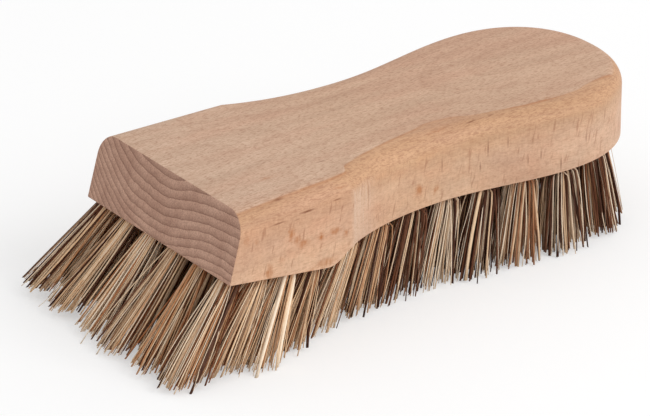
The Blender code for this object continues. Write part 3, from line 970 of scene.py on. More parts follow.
@dataclass
class BeechBlock:
    """The one piece of wood, with round drilled holes and softened edges."""

    shape: BlockShape
    layout: TuftLayout
    finish: BeechFinish
    origin: Vector
    node: str = "beech_block"
    edge_softening: float = 0.0003
    station_step: float = 0.0012
    rear_steps: int = 40
    rounding_steps: int = 12
    softening_steps: int = 3
    bend_steps: int = 3
    hole_sides: int = 28
    drill_cone: float = 0.0006
    smooth_angle: float = math.radians(20.0)

    def _stations(self) -> tuple[list[float], int]:
        """Where a side's outline has points.

        Returns:
            Their distances from the front, and the number of the one where the flat rear begins.
        """
        shape = self.shape
        bends = [at + shape.bend_reach * i / self.bend_steps
                 for at in (shape.heel_x, shape.crease_x) for i in range(-self.bend_steps, self.bend_steps + 1)]
        span = shape.lobe_x - bends[-1]
        steps = math.ceil(span / self.station_step)
        waist = [bends[-1] + span * i / steps for i in range(1, steps + 1)]
        return [0.0] + bends + waist, len(bends)

    def _softened(self, angle: float) -> tuple[Profile, Profile]:
        """A ring round the softened lower edge.

        Args:
            angle: How far round the edge it is, from 0 at the underside to a quarter turn at the side.

        Returns:
            Its inset and its height, at each distance from the front.
        """
        inset = self.edge_softening * (1 - math.sin(angle))
        lift = self.edge_softening * (1 - math.cos(angle))
        return (lambda x: inset), (lambda x: self.shape.underside_z(x) + lift)

    def _rounded(self, angle: float) -> tuple[Profile, Profile]:
        """A ring round the rounded top edge.

        Args:
            angle: How far round the edge it is, from 0 at the side to a quarter turn at the top.

        Returns:
            Its inset and its height, at each distance from the front.
        """
        shape, share_in, share_down = self.shape, 1 - math.cos(angle), 1 - math.sin(angle)
        return (lambda x: shape.edge_rounding(x) * share_in,
                lambda x: shape.thickness - shape.edge_rounding(x) * share_down)

    def _shell(self) -> bpy.types.Mesh:
        """The block before it is drilled.

        Returns:
            A closed mesh, in the block's own frame.
        """
        shape = self.shape
        stations, flat_from = self._stations()
        points = shape.outline(stations, self.rear_steps)
        quarter = math.pi / 2
        levels = [self._softened(quarter * i / self.softening_steps) for i in range(self.softening_steps + 1)]
        levels += [self._rounded(quarter * i / self.rounding_steps) for i in range(self.rounding_steps + 1)]
        bm = bmesh.new()
        rings = [[bm.verts.new(p) for p in shape.drawn_in(points, *level)] for level in levels]
        for lower, upper in zip(rings, rings[1:]):
            for i in range(len(points) - 1):
                bm.faces.new((lower[i], lower[i + 1], upper[i + 1], upper[i]))
        bm.faces.new(rings[-1])
        front = bm.faces.new([ring[0] for ring in rings] + [ring[-1] for ring in reversed(rings)])
        base = rings[0]
        for i in range(flat_from):
            bm.faces.new((base[i], base[-1 - i], base[-2 - i], base[i + 1]))
        bm.faces.new(base[flat_from:len(base) - flat_from])
        bmesh.ops.recalc_face_normals(bm, faces=bm.faces)
        bmesh.ops.bevel(bm, geom=list(front.edges), offset=self.edge_softening, affect="EDGES",
                        segments=2, profile=0.5, clamp_overlap=True)
        mesh = bpy.data.meshes.new("shell")
        bm.to_mesh(mesh)
        bm.free()
        return mesh

    def _drills(self, places: Sequence[TuftPlace]) -> bpy.types.Mesh:
        """The drilled holes as solid pins, with a cone at the end as a drill leaves it.

        Args:
            places: The tufts that need a hole.

        Returns:
            One mesh of all the pins, in the block's own frame.
        """
        bm = bmesh.new()
        radius, depth = self.layout.radius, self.layout.hole_depth
        turns = [2 * math.pi * i / self.hole_sides for i in range(self.hole_sides)]
        for place in places:
            rings = []
            for at in (depth - self.drill_cone, -2 * radius):
                centre = place.mouth - place.axis * at
                rings.append([bm.verts.new(centre + radius * (
                    math.cos(a) * place.along_x + math.sin(a) * place.along_y)) for a in turns])
            tip = bm.verts.new(place.mouth - place.axis * depth)
            bm.faces.new(rings[1])
            for i in range(self.hole_sides):
                j = (i + 1) % self.hole_sides
                bm.faces.new((rings[0][i], rings[0][j], rings[1][j], rings[1][i]))
                bm.faces.new((rings[0][j], rings[0][i], tip))
        bmesh.ops.recalc_face_normals(bm, faces=bm.faces)
        mesh = bpy.data.meshes.new("drills")
        bm.to_mesh(mesh)
        bm.free()
        return mesh

    def build(self, places: Sequence[TuftPlace]) -> bpy.types.Object:
        """Makes the drilled block and gives it its materials.

        Args:
            places: The tufts that need a hole.

        Returns:
            The block, in the frame's place.
        """
        collection = bpy.context.scene.collection
        block = bpy.data.objects.new("beech_block_wood", self._shell())
        drills = bpy.data.objects.new("drills", self._drills(places))
        for obj in (block, drills):
            collection.objects.link(obj)
        cut = block.modifiers.new("holes", "BOOLEAN")
        cut.operation, cut.object, cut.solver = "DIFFERENCE", drills, "EXACT"
        bpy.context.view_layer.update()
        evaluated = block.evaluated_get(bpy.context.evaluated_depsgraph_get())
        mesh = bpy.data.meshes.new_from_object(evaluated)
        block.modifiers.clear()
        block.data = mesh
        bpy.data.objects.remove(drills)
        for vertex in mesh.vertices:
            vertex.co += self.origin
        mesh.shade_smooth()
        mesh.set_sharp_from_angle(angle=self.smooth_angle)
        self._dress(mesh)
        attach(block, BODY)
        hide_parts(self.node)
        return block

    def _dress(self, mesh: bpy.types.Mesh) -> None:
        """Gives the sawn front face its end grain, and the rest its long grain.

        Args:
            mesh: The block's mesh.
        """
        materials = self.finish.materials(self.origin)
        mesh.materials.clear()
        for cut in Cut:
            mesh.materials.append(materials[cut])
        lean = self.shape.front_lean_back
        facing = Vector((-math.cos(lean), 0, math.sin(lean)))
        for polygon in mesh.polygons:
            in_front = polygon.normal.dot(facing) > 0.9
            polygon.material_index = (Cut.END_GRAIN if in_front else Cut.LONG_GRAIN).value


@dataclass(frozen=True)
class FibreSort:
    """One sort of fibre in the mixture.

    Tone runs from dark to pale, and warmth from grey to orange.
    """

    nose_share: float
    rear_share: float
    tone: tuple[float, float]
    warmth: tuple[float, float]
    width: tuple[float, float]
    flatness: tuple[float, float]


class Fibre(Enum):
    """The sorts of fibre that the tufts are mixed from."""

    CREAM = FibreSort(0.21, 0.24, (0.86, 1.00), (0.15, 0.62), (0.00024, 0.00048), (0.6, 1.0))
    STRAW = FibreSort(0.25, 0.21, (0.66, 0.86), (0.25, 0.76), (0.00026, 0.00060), (0.5, 1.0))
    BROAD_STRAW = FibreSort(0.06, 0.06, (0.68, 0.92), (0.15, 0.60), (0.00075, 0.00125), (0.25, 0.4))
    TAN = FibreSort(0.15, 0.07, (0.46, 0.66), (0.45, 0.95), (0.00028, 0.00062), (0.6, 1.0))
    RUST = FibreSort(0.11, 0.05, (0.26, 0.42), (0.65, 1.00), (0.00030, 0.00080), (0.5, 1.0))
    GREY = FibreSort(0.05, 0.06, (0.42, 0.72), (0.00, 0.25), (0.00026, 0.00056), (0.6, 1.0))
    BROWN = FibreSort(0.10, 0.12, (0.06, 0.26), (0.15, 0.75), (0.00028, 0.00066), (0.5, 1.0))
    BROAD_BROWN = FibreSort(0.02, 0.09, (0.02, 0.20), (0.05, 0.45), (0.00060, 0.00105), (0.25, 0.4))
    BLACK = FibreSort(0.06, 0.08, (0.00, 0.08), (0.10, 0.50), (0.00034, 0.00110), (0.4, 0.9))


@dataclass(frozen=True)
class Bristle:
    """One fibre that stands out. Its tip is given from its tuft's foot, in metres."""

    tuft: str
    tip: tuple[float, float]
    width: float
    tone: float
    warmth: float


@dataclass(frozen=True)
class FibreFinish:
    """Dry plant fibre, coloured fibre by fibre from marks that the mesh carries, with painted shade that
    darkens it towards its root.
    """

    grey_side: tuple[Colour, ...] = (
        srgb(60, 34, 26), srgb(114, 80, 62), srgb(179, 147, 118), srgb(222, 195, 164), srgb(247, 229, 207))
    orange_side: tuple[Colour, ...] = (
        srgb(74, 36, 16), srgb(146, 84, 48), srgb(206, 146, 100), srgb(232, 190, 146), srgb(248, 224, 194))
    # Painted shade at the fibres' roots, where the block and the other fibres shade them
    painted_root_shade: Colour = srgb(166, 128, 102)
    streakiness: float = 0.18

    def material(self) -> bpy.types.Material:
        """Makes one material for every tuft.

        Returns:
            The material.
        """
        material, graph, shader = new_material("mixed plant fibre")
        tone, warmth, along = (graph.add("ShaderNodeAttribute", attribute_name=mark).outputs["Fac"]
                               for mark in ("tone", "warmth", "along"))
        position = graph.add("ShaderNodeNewGeometry").outputs["Position"]
        streak = graph.noise(position, (1900, 1900, 130), detail=3.0)
        tone = graph.maths("ADD", tone, graph.between(streak, -self.streakiness, self.streakiness))
        grey, orange = (
            graph.ramp(tone, tuple((i / (len(colours) - 1), colour) for i, colour in enumerate(colours)))
            for colours in (self.grey_side, self.orange_side))
        # Painted shade: each fibre darkens towards its root, under the block
        shade = graph.ramp(along, ((0.0, self.painted_root_shade), (0.35, srgb(255, 255, 255))))
        colour = graph.blend(0.6, graph.blend(warmth, grey, orange), shade, "MULTIPLY")
        graph.feed(shader, {"Base Color": colour, "Roughness": graph.between(streak, 0.48, 0.73),
                            "Specular IOR Level": 0.10})
        return material


@dataclass(frozen=True)
class WireFinish:
    """Drawn steel wire, dull from handling."""

    steel: Colour = srgb(150, 148, 144)

    def material(self) -> bpy.types.Material:
        """Makes one material for every anchor wire.

        Returns:
            The material.
        """
        material, graph, shader = new_material("anchor wire steel")
        position = graph.add("ShaderNodeNewGeometry").outputs["Position"]
        drawn = graph.noise(position, (4000, 400, 4000))
        graph.feed(shader, {"Base Color": self.steel, "Metallic": 1.0,
                            "Roughness": graph.between(drawn, 0.3, 0.6)})
        return material


@dataclass(frozen=True)
class Bundle:
    """What both halves of a tuft's fibres share. Roots are given across the hole, and bunches from the foot."""

    place: TuftPlace
    mouth: np.ndarray
    axis: np.ndarray
    foot: np.ndarray
    rearness: float
    spread: float
    curly: np.ndarray
    radius: np.ndarray
    root_u: np.ndarray
    root_v: np.ndarray
    bunch_at: np.ndarray
    steps: np.ndarray
    opening: np.ndarray


@dataclass(frozen=True)
class Half:
    """One half of each of a tuft's fibres, from the wire to its tip, and which of them are special bristles."""

    path: np.ndarray
    top: np.ndarray
    bunch: np.ndarray
    bristles: list[tuple[int, Bristle]]


@dataclass(frozen=True)
class Fibres:
    """A tuft's fibres: their centre lines, the half sizes and turns of their sections, and their tips' heights.

    Marks are what the material reads, at each point of a line.
    """

    paths: np.ndarray
    widths: np.ndarray
    thicknesses: np.ndarray
    turns: np.ndarray
    tips: np.ndarray
    marks: dict[str, np.ndarray]


@dataclass
class TuftMaker:
    """Makes tufts: fibres folded in half round a flat wire, packed in a hole, and fanned to their tips.

    Spread and wear are curves of a length over the distance from the front. Redrawn names the tufts whose
    random choices were taken again, and which draw was kept.
    """

    layout: TuftLayout
    origin: Vector
    fibre: bpy.types.Material
    steel: bpy.types.Material
    folded_fibres: int = 76
    seed: int = 1
    redrawn: tuple[tuple[str, int], ...] = (("row_10_tuft_1", 2), ("row_12_tuft_1", 2))

    # The anchor wire, and the roots round it
    wire_thickness: float = 0.0005
    wire_width: float = 0.0016
    wire_bite: float = 0.0006
    wire_depth: float = 0.0085
    hole_clearance: float = 0.0002
    root_scatter: float = 0.0001
    fold_drop: float = 0.0002
    fold_depth: float = 0.45

    # Where a tuft as a whole reaches
    wayward: float = 0.0008
    front_drift: float = 0.0028
    rear_drift: float = 0.0014
    rear_from_x: float = 0.1290
    rear_within: float = 0.008
    spread: Curve = (
        (0.000, 0.0060), (0.012, 0.0072), (0.024, 0.0076), (0.034, 0.0058), (0.069, 0.0062),
        (0.120, 0.0058), (0.137, 0.0033))
    wear: Curve = (
        (0.000, 0.0022), (0.009, 0.0006), (0.013, 0.0020), (0.022, 0.0002), (0.029, 0.0002), (0.041, 0.0008),
        (0.048, 0.0012), (0.057, 0.0008), (0.069, 0.0), (0.114, 0.0002), (0.126, 0.0004), (0.136, 0.0012))
    corner_wear: float = 0.0018
    outermost: float = 0.0014

    # How its fibres spread
    squareness: float = 0.75
    lengthwise: float = 0.22
    widest: float = 1.4
    reach_range: tuple[float, float] = (0.85, 1.08)
    tip_scatter: float = 0.0011
    wild_share: float = 0.12
    wild_scatter: float = 0.0028
    bunch_counts: tuple[int, int] = (5, 9)
    bunch_reach: float = 0.8
    gathering: float = 0.25
    pull_range: tuple[float, float] = (0.3, 1.0)
    early_fan: tuple[float, float] = (0.08, 0.36)
    early_range: tuple[float, float] = (0.2, 1.8)
    fan_length: float = 0.04
    bow: float = 0.00035
    trim: float = 0.0007
    longest_shortfall: float = 0.0040

    # The one curly hair that some tufts have
    curly_share: float = 0.6
    curly_scatter: float = 0.0040
    curly_width: tuple[float, float] = (0.00014, 0.00022)
    curly_tone: tuple[float, float] = (0.85, 1.0)
    curl: float = 0.0012
    curl_turns: float = 0.6

    # The mixture, which is paler at the nose, and more alike within a bunch
    paler_until_x: float = 0.0300
    darker_from_x: float = 0.0550
    rear_greying: float = 0.4
    # Painted shade: how much darker the fibres at a tuft's middle are made, as their neighbours shade them
    inner_painted_shade: float = 0.12
    mixture_evenness: float = 14.0
    bunch_likeness: float = 0.40
    bristles: tuple[Bristle, ...] = (
        Bristle("row_13_tuft_1", (-0.0012, -0.0070), 0.00085, 0.02, 0.2),
        Bristle("row_01_tuft_1", (0.0015, -0.0045), 0.00105, 0.12, 0.0),
        Bristle("row_01_tuft_3", (-0.0070, 0.0010), 0.00045, 0.98, 0.2),
        Bristle("row_01_tuft_4", (-0.0085, -0.0030), 0.00035, 0.95, 0.2),
        Bristle("row_03_tuft_1", (-0.0030, -0.0070), 0.00110, 1.0, 0.3))
    end_thinning: float = 0.12

    # How finely a fibre is drawn, with its points closer together near its root
    free_steps: int = 7
    step_growth: float = 1.3
    sides: int = 5

    @property
    def packed(self) -> float:
        """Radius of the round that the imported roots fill."""
        return self.layout.radius - self.hole_clearance

    def build(self, place: TuftPlace, number: int) -> bpy.types.Object:
        """Makes one tuft in its place.

        Args:
            place: Where its hole is, in the block's own frame.
            number: Its number, which sets its random choices.

        Returns:
            The tuft, riding on the brush and standing for its node.
        """
        draw = dict(self.redrawn).get(place.name, 0)
        random = np.random.default_rng(self.seed * 1000 + draw * 100 + number)
        fibres = self._fibres(place, random)
        vertices, faces = self._tubes(fibres, np.array(place.along_y))
        wire_vertices, wire_faces = self._wire(place, len(vertices))
        mesh = bpy.data.meshes.new(place.name)
        everything = np.vstack([vertices, wire_vertices]) + np.array(self.origin)
        mesh.from_pydata(everything.tolist(), [], faces + wire_faces)
        smooth = np.array([len(face) == 4 for face in faces] + [False] * len(wire_faces))
        mesh.polygons.foreach_set("use_smooth", smooth)
        mesh.polygons.foreach_set("material_index", np.array([0] * len(faces) + [1] * len(wire_faces)))
        for title, values in fibres.marks.items():
            spread = np.append(np.repeat(values.reshape(-1), self.sides), np.zeros(len(wire_vertices)))
            mark = mesh.attributes.new(title, "FLOAT", "POINT")
            mark.data.foreach_set("value", spread.astype(np.float32))
        mesh.materials.append(self.fibre)
        mesh.materials.append(self.steel)
        mesh.validate()
        tuft = bpy.data.objects.new(place.name + "_fibres", mesh)
        bpy.context.scene.collection.objects.link(tuft)
        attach(tuft, BODY)
        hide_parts(place.name)
        return tuft

    def _worn_short(self, mouth: np.ndarray) -> float:
        """How much shorter the fibres of a tuft are, where the brush is worn or trimmed.

        Args:
            mouth: Where they leave the wood.

        Returns:
            The length that they lack.
        """
        along = float(np.interp(mouth[0], *zip(*self.wear)))
        outward = max(mouth[1] / self.layout.shape.half_width(0.0), 0.0)
        return along + self.corner_wear * (max(1 - mouth[0] / self.paler_until_x, 0.0) * outward)

    def _kept_in(self, tips: np.ndarray) -> np.ndarray:
        """Draws tips that would reach far past the CAD model's box back towards it, softly.

        Args:
            tips: Where the tips would be, as (x, y).

        Returns:
            Where they are.
        """
        low, high = (np.array(corner)[:2] - np.array(self.origin)[:2] for corner in CAD_BOX)
        for side, edge in ((-1, low), (1, high)):
            past = np.maximum((tips - edge) * side, 0.0)
            tips = tips + side * (self.outermost * (1 - np.exp(-past / self.outermost)) - past)
        return tips

    def _choose_sorts(self, random: np.random.Generator, bunches: np.ndarray, count: int,
                      rearness: float) -> list[FibreSort]:
        """Picks a sort for each fibre, so that fibres of one bunch are often alike.

        Args:
            random: The tuft's random numbers.
            bunches: The bunch that each fibre belongs to.
            count: How many bunches there are.
            rearness: 0 for the nose's paler mixture, and 1 for the darker one behind it.

        Returns:
            One sort for each fibre.
        """
        sorts = [member.value for member in Fibre]
        shares = np.array([sort.nose_share + rearness * (sort.rear_share - sort.nose_share) for sort in sorts])
        shares *= random.gamma(self.mixture_evenness, 1 / self.mixture_evenness, len(sorts))
        shares /= shares.sum()
        favourites = random.choice(len(sorts), size=count, p=shares)
        own = random.choice(len(sorts), size=len(bunches), p=shares)
        follow = random.random(len(bunches)) < self.bunch_likeness
        return [sorts[favourites[bunch]] if follows else sorts[choice]
                for bunch, follows, choice in zip(bunches, follow, own)]

    def _bundle(self, place: TuftPlace, random: np.random.Generator) -> Bundle:
        """Sets out what the two halves of a tuft's fibres share.

        Args:
            place: The tuft's place.
            random: The tuft's random numbers.

        Returns:
            The bundle.
        """
        count = self.folded_fibres
        curly = np.arange(count) >= count - (random.random() < self.curly_share)
        mouth, axis, foot = (np.array(v) for v in (place.mouth, place.axis, place.foot))
        foot = foot + np.append(random.normal(0, self.wayward, 2), 0.0)
        middle = math.cos(math.pi / 2 * mouth[1] / self.layout.shape.half_width(0.0))
        foot[1] += self.front_drift * middle * max(1 - mouth[0] / self.paler_until_x, 0.0)
        foot[0] -= self.rear_drift * min(max(mouth[0] - self.rear_from_x, 0.0) / self.rear_within, 1.0)
        rearness = (mouth[0] - self.paler_until_x) / (self.darker_from_x - self.paler_until_x)
        rearness = min(max(rearness, 0.0), 1.0)
        # Roots fill the half of the hole on one side of the wire, and their other halves mirror them
        radius = self.packed * np.sqrt((np.arange(count) + 0.5) / count)
        angle = np.arange(count) * math.pi * (3 - math.sqrt(5)) + random.random() * math.tau
        root_u = np.abs(radius * np.cos(angle)) + self.wire_thickness / 2
        root_v = radius * np.sin(angle)
        spread = float(np.interp(mouth[0], *zip(*self.spread)))
        bunch_count = int(random.integers(*self.bunch_counts))
        bunch_at = random.uniform(-self.bunch_reach, self.bunch_reach, (bunch_count, 2)) * spread
        early = self.early_fan[0] + rearness * (self.early_fan[1] - self.early_fan[0])
        early = early * random.uniform(*self.early_range, (count, 1))
        steps = np.linspace(0, 1, self.free_steps + 1) ** self.step_growth
        opening = (1 - early) * steps + early * (1 - np.exp(-steps / self.fan_length))
        opening = (opening / opening[:, -1:])[..., None]
        return Bundle(place, mouth, axis, foot, rearness, spread, curly, radius, root_u, root_v, bunch_at,
                      steps[None, :, None], opening)

    def _tips(self, bundle: Bundle, root: np.ndarray,
              random: np.random.Generator) -> tuple[np.ndarray, np.ndarray]:
        """Fans the tips out from the tuft's foot.

        Args:
            bundle: The tuft's fibres.
            root: Their places across the hole.
            random: The tuft's random numbers.

        Returns:
            The tips from the foot, and the bunch that each one gathers to.
        """
        count = len(root)
        tip = root / self.packed
        square = np.linalg.norm(tip, axis=1) / np.maximum(np.abs(tip).max(axis=1), 1e-6)
        tip *= bundle.spread * (1 + bundle.rearness * self.squareness * (square - 1))[:, None]
        tip *= random.uniform(*self.reach_range, (count, 1))
        tip[:, 0] *= 1 + self.lengthwise * bundle.rearness
        scatter = np.where(random.random((count, 1)) < self.wild_share, self.wild_scatter, self.tip_scatter)
        tip += random.normal(0, 1, (count, 2)) * scatter
        nearest = np.argmin(np.linalg.norm(tip[:, None] - bundle.bunch_at[None], axis=2), axis=1)
        pull = random.uniform(*self.pull_range, (count, 1)) * self.gathering
        tip += (bundle.bunch_at[nearest] - tip) * pull
        tip[bundle.curly] += random.normal(0, self.curly_scatter, (bundle.curly.sum(), 2))
        tip *= np.minimum(self.widest * bundle.spread / np.linalg.norm(tip, axis=1), 1.0)[:, None]
        return tip, nearest

    def _half(self, bundle: Bundle, sign: int, random: np.random.Generator) -> Half:
        """Draws one half of each fibre.

        Args:
            bundle: The tuft's fibres.
            sign: 1 or -1, for the side of the wire. Special bristles are on the -1 side.
            random: The tuft's random numbers.

        Returns:
            The halves.
        """
        place, mouth, foot, steps, curly = bundle.place, bundle.mouth, bundle.foot, bundle.steps, bundle.curly
        count = len(bundle.root_u)
        u, v = sign * bundle.root_u, bundle.root_v + random.normal(0, self.root_scatter, count)
        size = np.maximum(np.hypot(u, v) / self.packed, 1.0)
        root = np.stack([u / size, v / size], axis=1)
        tip, nearest = self._tips(bundle, root, random)
        trimmed = np.minimum(random.exponential(self.trim, count), self.longest_shortfall)
        short = self._worn_short(mouth) + trimmed
        special = [(int(np.argmax(root @ np.array(bristle.tip))), bristle)
                   for bristle in self.bristles if bristle.tuft == place.name and sign < 0]
        for at, bristle in special:
            tip[at], short[at] = bristle.tip, 0.0

        start = mouth + root[:, :1] * np.array(place.along_x) + root[:, 1:] * np.array(place.along_y)
        top = -self.layout.fibre_reach + short
        forward = (foot - mouth) * ((top - start[:, 2]) / (foot - mouth)[2])[:, None]
        share = (forward[:, 2] / (-self.layout.fibre_reach - start[:, 2]))[:, None]
        end = self._kept_in(start[:, :2] + (foot[:2] + tip - start[:, :2]) * share)
        end = np.concatenate([end, top[:, None]], axis=1)
        inner = start - bundle.axis * self.wire_depth
        bend = random.normal(0, 1, (count, 3)) * self.bow
        free = (start[:, None] + forward[:, None] * steps + (end - start - forward)[:, None] * bundle.opening
                + 4 * steps ** 1.5 * (1 - steps) * bend[:, None])
        phase = random.uniform(0, math.tau, (count, 1, 2)) + steps * math.tau * self.curl_turns
        free[curly, :, :2] += self.curl * (np.sin(phase) * np.sqrt(steps) * (1 - steps ** 3))[curly]
        return Half(np.concatenate([inner[:, None], free], axis=1), top, nearest, special)

    def _folded(self, axis: np.ndarray, first: Half, second: Half) -> np.ndarray:
        """Joins two halves by a fold beyond the wire, deep in the hole.

        Args:
            axis: The way that the tuft points.
            first: One half of each fibre.
            second: The other half of each.

        Returns:
            The fibres' whole centre lines.
        """
        middle = (first.path[:, 0] + second.path[:, 0]) / 2
        reach = (first.path[:, 0] - second.path[:, 0]) / 2
        depth = (self.fold_drop + self.fold_depth * np.linalg.norm(reach, axis=1))[:, None]
        fold = [middle + reach * math.cos(swing) - axis * depth * math.sin(swing)
                for swing in (math.pi * 0.25, math.pi * 0.5, math.pi * 0.75)]
        return np.concatenate([first.path[:, ::-1], np.stack(fold, axis=1), second.path], axis=1)

    def _fibres(self, place: TuftPlace, random: np.random.Generator) -> Fibres:
        """Draws a tuft's fibres and chooses the sort, size and marks of each.

        Args:
            place: The tuft's place.
            random: The tuft's random numbers.

        Returns:
            The fibres.
        """
        bundle = self._bundle(place, random)
        first, second = self._half(bundle, 1, random), self._half(bundle, -1, random)
        paths = self._folded(bundle.axis, first, second)
        sorts = self._choose_sorts(random, first.bunch, len(bundle.bunch_at), bundle.rearness)
        curly, count, samples = bundle.curly, len(paths), paths.shape[1]
        width = np.array([random.uniform(*sort.width) for sort in sorts])
        width[curly] = random.uniform(*self.curly_width, curly.sum())
        flat = np.array([random.uniform(*sort.flatness) for sort in sorts])
        tone = np.array([random.uniform(*sort.tone) for sort in sorts])
        # Painted shade: fibres nearer the tuft's middle are made darker, as the outer ones shade them
        tone -= self.inner_painted_shade * (1 - bundle.radius / self.packed)
        tone[curly] = random.uniform(*self.curly_tone, curly.sum())
        warmth = np.array([random.uniform(*sort.warmth) for sort in sorts])
        warmth *= 1 - self.rear_greying * bundle.rearness
        for at, bristle in second.bristles:
            width[at], tone[at], warmth[at] = bristle.width, bristle.tone, bristle.warmth
        middle = (samples - 1) / 2
        outward = np.clip((np.abs(np.arange(samples) - middle) - 2) / (middle - 2), 0, 1)
        half_width = width[:, None] / 2 * (1 - self.end_thinning * outward)
        marks = {"tone": np.repeat(tone[:, None], samples, axis=1),
                 "warmth": np.repeat(warmth[:, None], samples, axis=1),
                 "along": np.tile(outward, (count, 1))}
        return Fibres(paths, half_width, half_width * flat[:, None], random.uniform(0, math.pi, count),
                      np.stack([first.top, second.top], axis=1), marks)

    def _tubes(self, fibres: Fibres, upright: np.ndarray) -> tuple[np.ndarray, list[list[int]]]:
        """Skins the fibres, each with an oval section and a level cut at both tips.

        Args:
            fibres: The fibres.
            upright: A direction that no fibre runs along.

        Returns:
            The vertices and the faces.
        """
        count, samples, _ = fibres.paths.shape
        tangent = np.gradient(fibres.paths, axis=1)
        tangent /= np.linalg.norm(tangent, axis=2, keepdims=True)
        side = np.cross(tangent, upright)
        side /= np.linalg.norm(side, axis=2, keepdims=True)
        other = np.cross(side, tangent)
        cos, sin = np.cos(fibres.turns)[:, None, None], np.sin(fibres.turns)[:, None, None]
        side, other = cos * side + sin * other, cos * other - sin * side
        angle = np.arange(self.sides)[:, None] * math.tau / self.sides
        ring = (fibres.paths[:, :, None]
                + fibres.widths[:, :, None, None] * np.cos(angle) * side[:, :, None]
                + fibres.thicknesses[:, :, None, None] * np.sin(angle) * other[:, :, None])
        for at, height in ((0, fibres.tips[:, 0]), (samples - 1, fibres.tips[:, 1])):
            way = tangent[:, at][:, None]
            ring[:, at] += way * ((height[:, None] - ring[:, at, :, 2]) / way[..., 2])[..., None]
        faces = []
        for fibre in range(count):
            base = fibre * samples * self.sides
            for i in range(samples - 1):
                low = base + i * self.sides
                for j in range(self.sides):
                    k = (j + 1) % self.sides
                    faces.append([low + j, low + k, low + self.sides + k, low + self.sides + j])
            faces.append(list(range(base + self.sides - 1, base - 1, -1)))
            last = base + (samples - 1) * self.sides
            faces.append(list(range(last, last + self.sides)))
        return ring.reshape(-1, 3), faces

    def _wire(self, place: TuftPlace, first: int) -> tuple[np.ndarray, list[list[int]]]:
        """The flat wire across the fold, with its long edges rounded off.

        Args:
            place: The tuft's place.
            first: Number of the wire's first vertex in the mesh.

        Returns:
            Its vertices and faces.
        """
        half_length = self.layout.radius + self.wire_bite
        corner = self.wire_thickness / 3
        thick, deep = self.wire_thickness / 2, self.wire_width / 2
        profile = [(thick, deep - corner), (thick - corner, deep), (corner - thick, deep),
                   (-thick, deep - corner), (-thick, corner - deep), (corner - thick, -deep),
                   (thick - corner, -deep), (thick, corner - deep)]
        centre = place.mouth - place.axis * (self.wire_depth - deep)
        points = [np.array(centre + a * place.along_x + b * place.axis + end * half_length * place.along_y)
                  for end in (-1, 1) for a, b in profile]
        size = len(profile)
        faces = [[first + i, first + (i + 1) % size, first + size + (i + 1) % size, first + size + i]
                 for i in range(size)]
        faces.append([first + size - 1 - i for i in range(size)])
        faces.append([first + size + i for i in range(size)])
        return np.array(points), faces


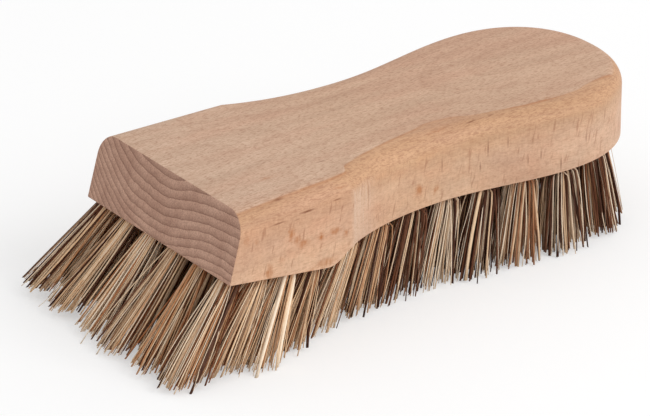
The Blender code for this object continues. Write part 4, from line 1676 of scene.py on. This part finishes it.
@dataclass
class Studio:
    """The floor, the light and the camera."""

    origin: Vector
    aim: tuple[float, float, float] = (0.048946, -0.008327, 0.0)
    distance: float = 1.320976
    azimuth: float = math.radians(-36.444)
    elevation: float = math.radians(26.127)
    focal_length: float = 272.6
    sensor_width: float = 36.0
    view_range: tuple[float, float] = (0.05, 50.0)
    floor_size: float = 12.0
    floor_colour: Colour = srgb(240, 240, 239)
    floor_glow: float = 0.45
    sky_strength: float = 0.74
    key_power: float = 21.0
    key_size: float = 1.4
    key_from: tuple[float, float, float] = (0.80, -1.50, 1.28)

    def build(self) -> None:
        """Sets the stage, the light and the camera."""
        self._floor()
        self._sky()
        self._key()
        self._camera()

    @staticmethod
    def _seen(graph: Graph) -> Socket:
        """Whether the camera sees a place, by itself or in a gloss."""
        path = graph.add("ShaderNodeLightPath").outputs
        return graph.largest(path["Is Camera Ray"], path["Is Glossy Ray"], path["Is Transmission Ray"])

    def _floor(self) -> None:
        """A pale floor, wide enough to fill every view."""
        bm = bmesh.new()
        bmesh.ops.create_grid(bm, x_segments=8, y_segments=8, size=self.floor_size / 2)
        mesh = bpy.data.meshes.new("floor")
        bm.to_mesh(mesh)
        bm.free()
        material, graph, shader = new_material("pale floor")
        seen = self._seen(graph)
        lit = (1.0 - self.floor_glow,) * 3 + (1.0,)
        colour = graph.blend(seen, self.floor_colour, lit)
        glow = graph.blend(seen, (0.0, 0.0, 0.0, 1.0), (self.floor_glow,) * 3 + (1.0,))
        graph.feed(shader, {"Base Color": colour, "Emission Color": glow, "Emission Strength": 1.0,
                            "Roughness": 0.9, "Specular IOR Level": 0.1})
        mesh.materials.append(material)
        floor = bpy.data.objects.new("floor", mesh)
        bpy.context.scene.collection.objects.link(floor)

    def _sky(self) -> None:
        """Even soft light from all round, which the camera and reflections see as white."""
        world = bpy.data.worlds.new("soft light")
        bpy.context.scene.world = world
        world.use_nodes = True
        graph = Graph(world.node_tree)
        background = world.node_tree.nodes["Background"]
        graph.feed(background, {"Color": (1.0, 1.0, 1.0, 1.0),
                                "Strength": graph.between(self._seen(graph), self.sky_strength, 1.0)})

    def _key(self) -> None:
        """One large soft lamp above the near side."""
        lamp = bpy.data.lights.new("key", "AREA")
        lamp.shape = "DISK"
        lamp.size = self.key_size
        lamp.energy = self.key_power
        key = bpy.data.objects.new("key", lamp)
        key.location = self.key_from
        key.rotation_euler = Vector(self.key_from).to_track_quat("Z", "Y").to_euler()
        bpy.context.scene.collection.objects.link(key)

    def _camera(self) -> None:
        """The camera, at the photograph's angle and distance."""
        data = bpy.data.cameras.new("camera")
        data.lens, data.sensor_width, data.sensor_fit = self.focal_length, self.sensor_width, "HORIZONTAL"
        data.clip_start, data.clip_end = self.view_range
        level = math.cos(self.elevation)
        back = Vector((math.sin(self.azimuth) * level, -math.cos(self.azimuth) * level,
                       math.sin(self.elevation)))
        camera = bpy.data.objects.new("camera", data)
        camera.location = self.origin + Vector(self.aim) + back * self.distance
        camera.rotation_euler = back.to_track_quat("Z", "Y").to_euler()
        bpy.context.scene.collection.objects.link(camera)
        bpy.context.scene.camera = camera


def main() -> None:
    """Builds the block, the tufts and the studio, in that order."""
    logging.basicConfig(level=logging.INFO, format="%(name)s: %(message)s")
    bpy.context.scene.view_settings.view_transform = "Standard"
    shape = BlockShape()
    layout = TuftLayout(shape)
    low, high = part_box("beech_block")
    origin = Vector((low.x, (low.y + high.y) / 2, high.z - shape.thickness))
    places = layout.places()
    block = BeechBlock(shape, layout, BeechFinish(), origin).build(places)
    LOG.info("%s: %d faces, %d holes", block.name, len(block.data.polygons), len(places))
    maker = TuftMaker(layout, origin, FibreFinish().material(), WireFinish().material())
    for number, place in enumerate(places):
        tuft = maker.build(place, number)
        LOG.info("%s: %d faces", tuft.name, len(tuft.data.polygons))
    Studio(origin).build()
    LOG.info("studio: floor, sky, key and camera")


if __name__ == "__main__":
    main()
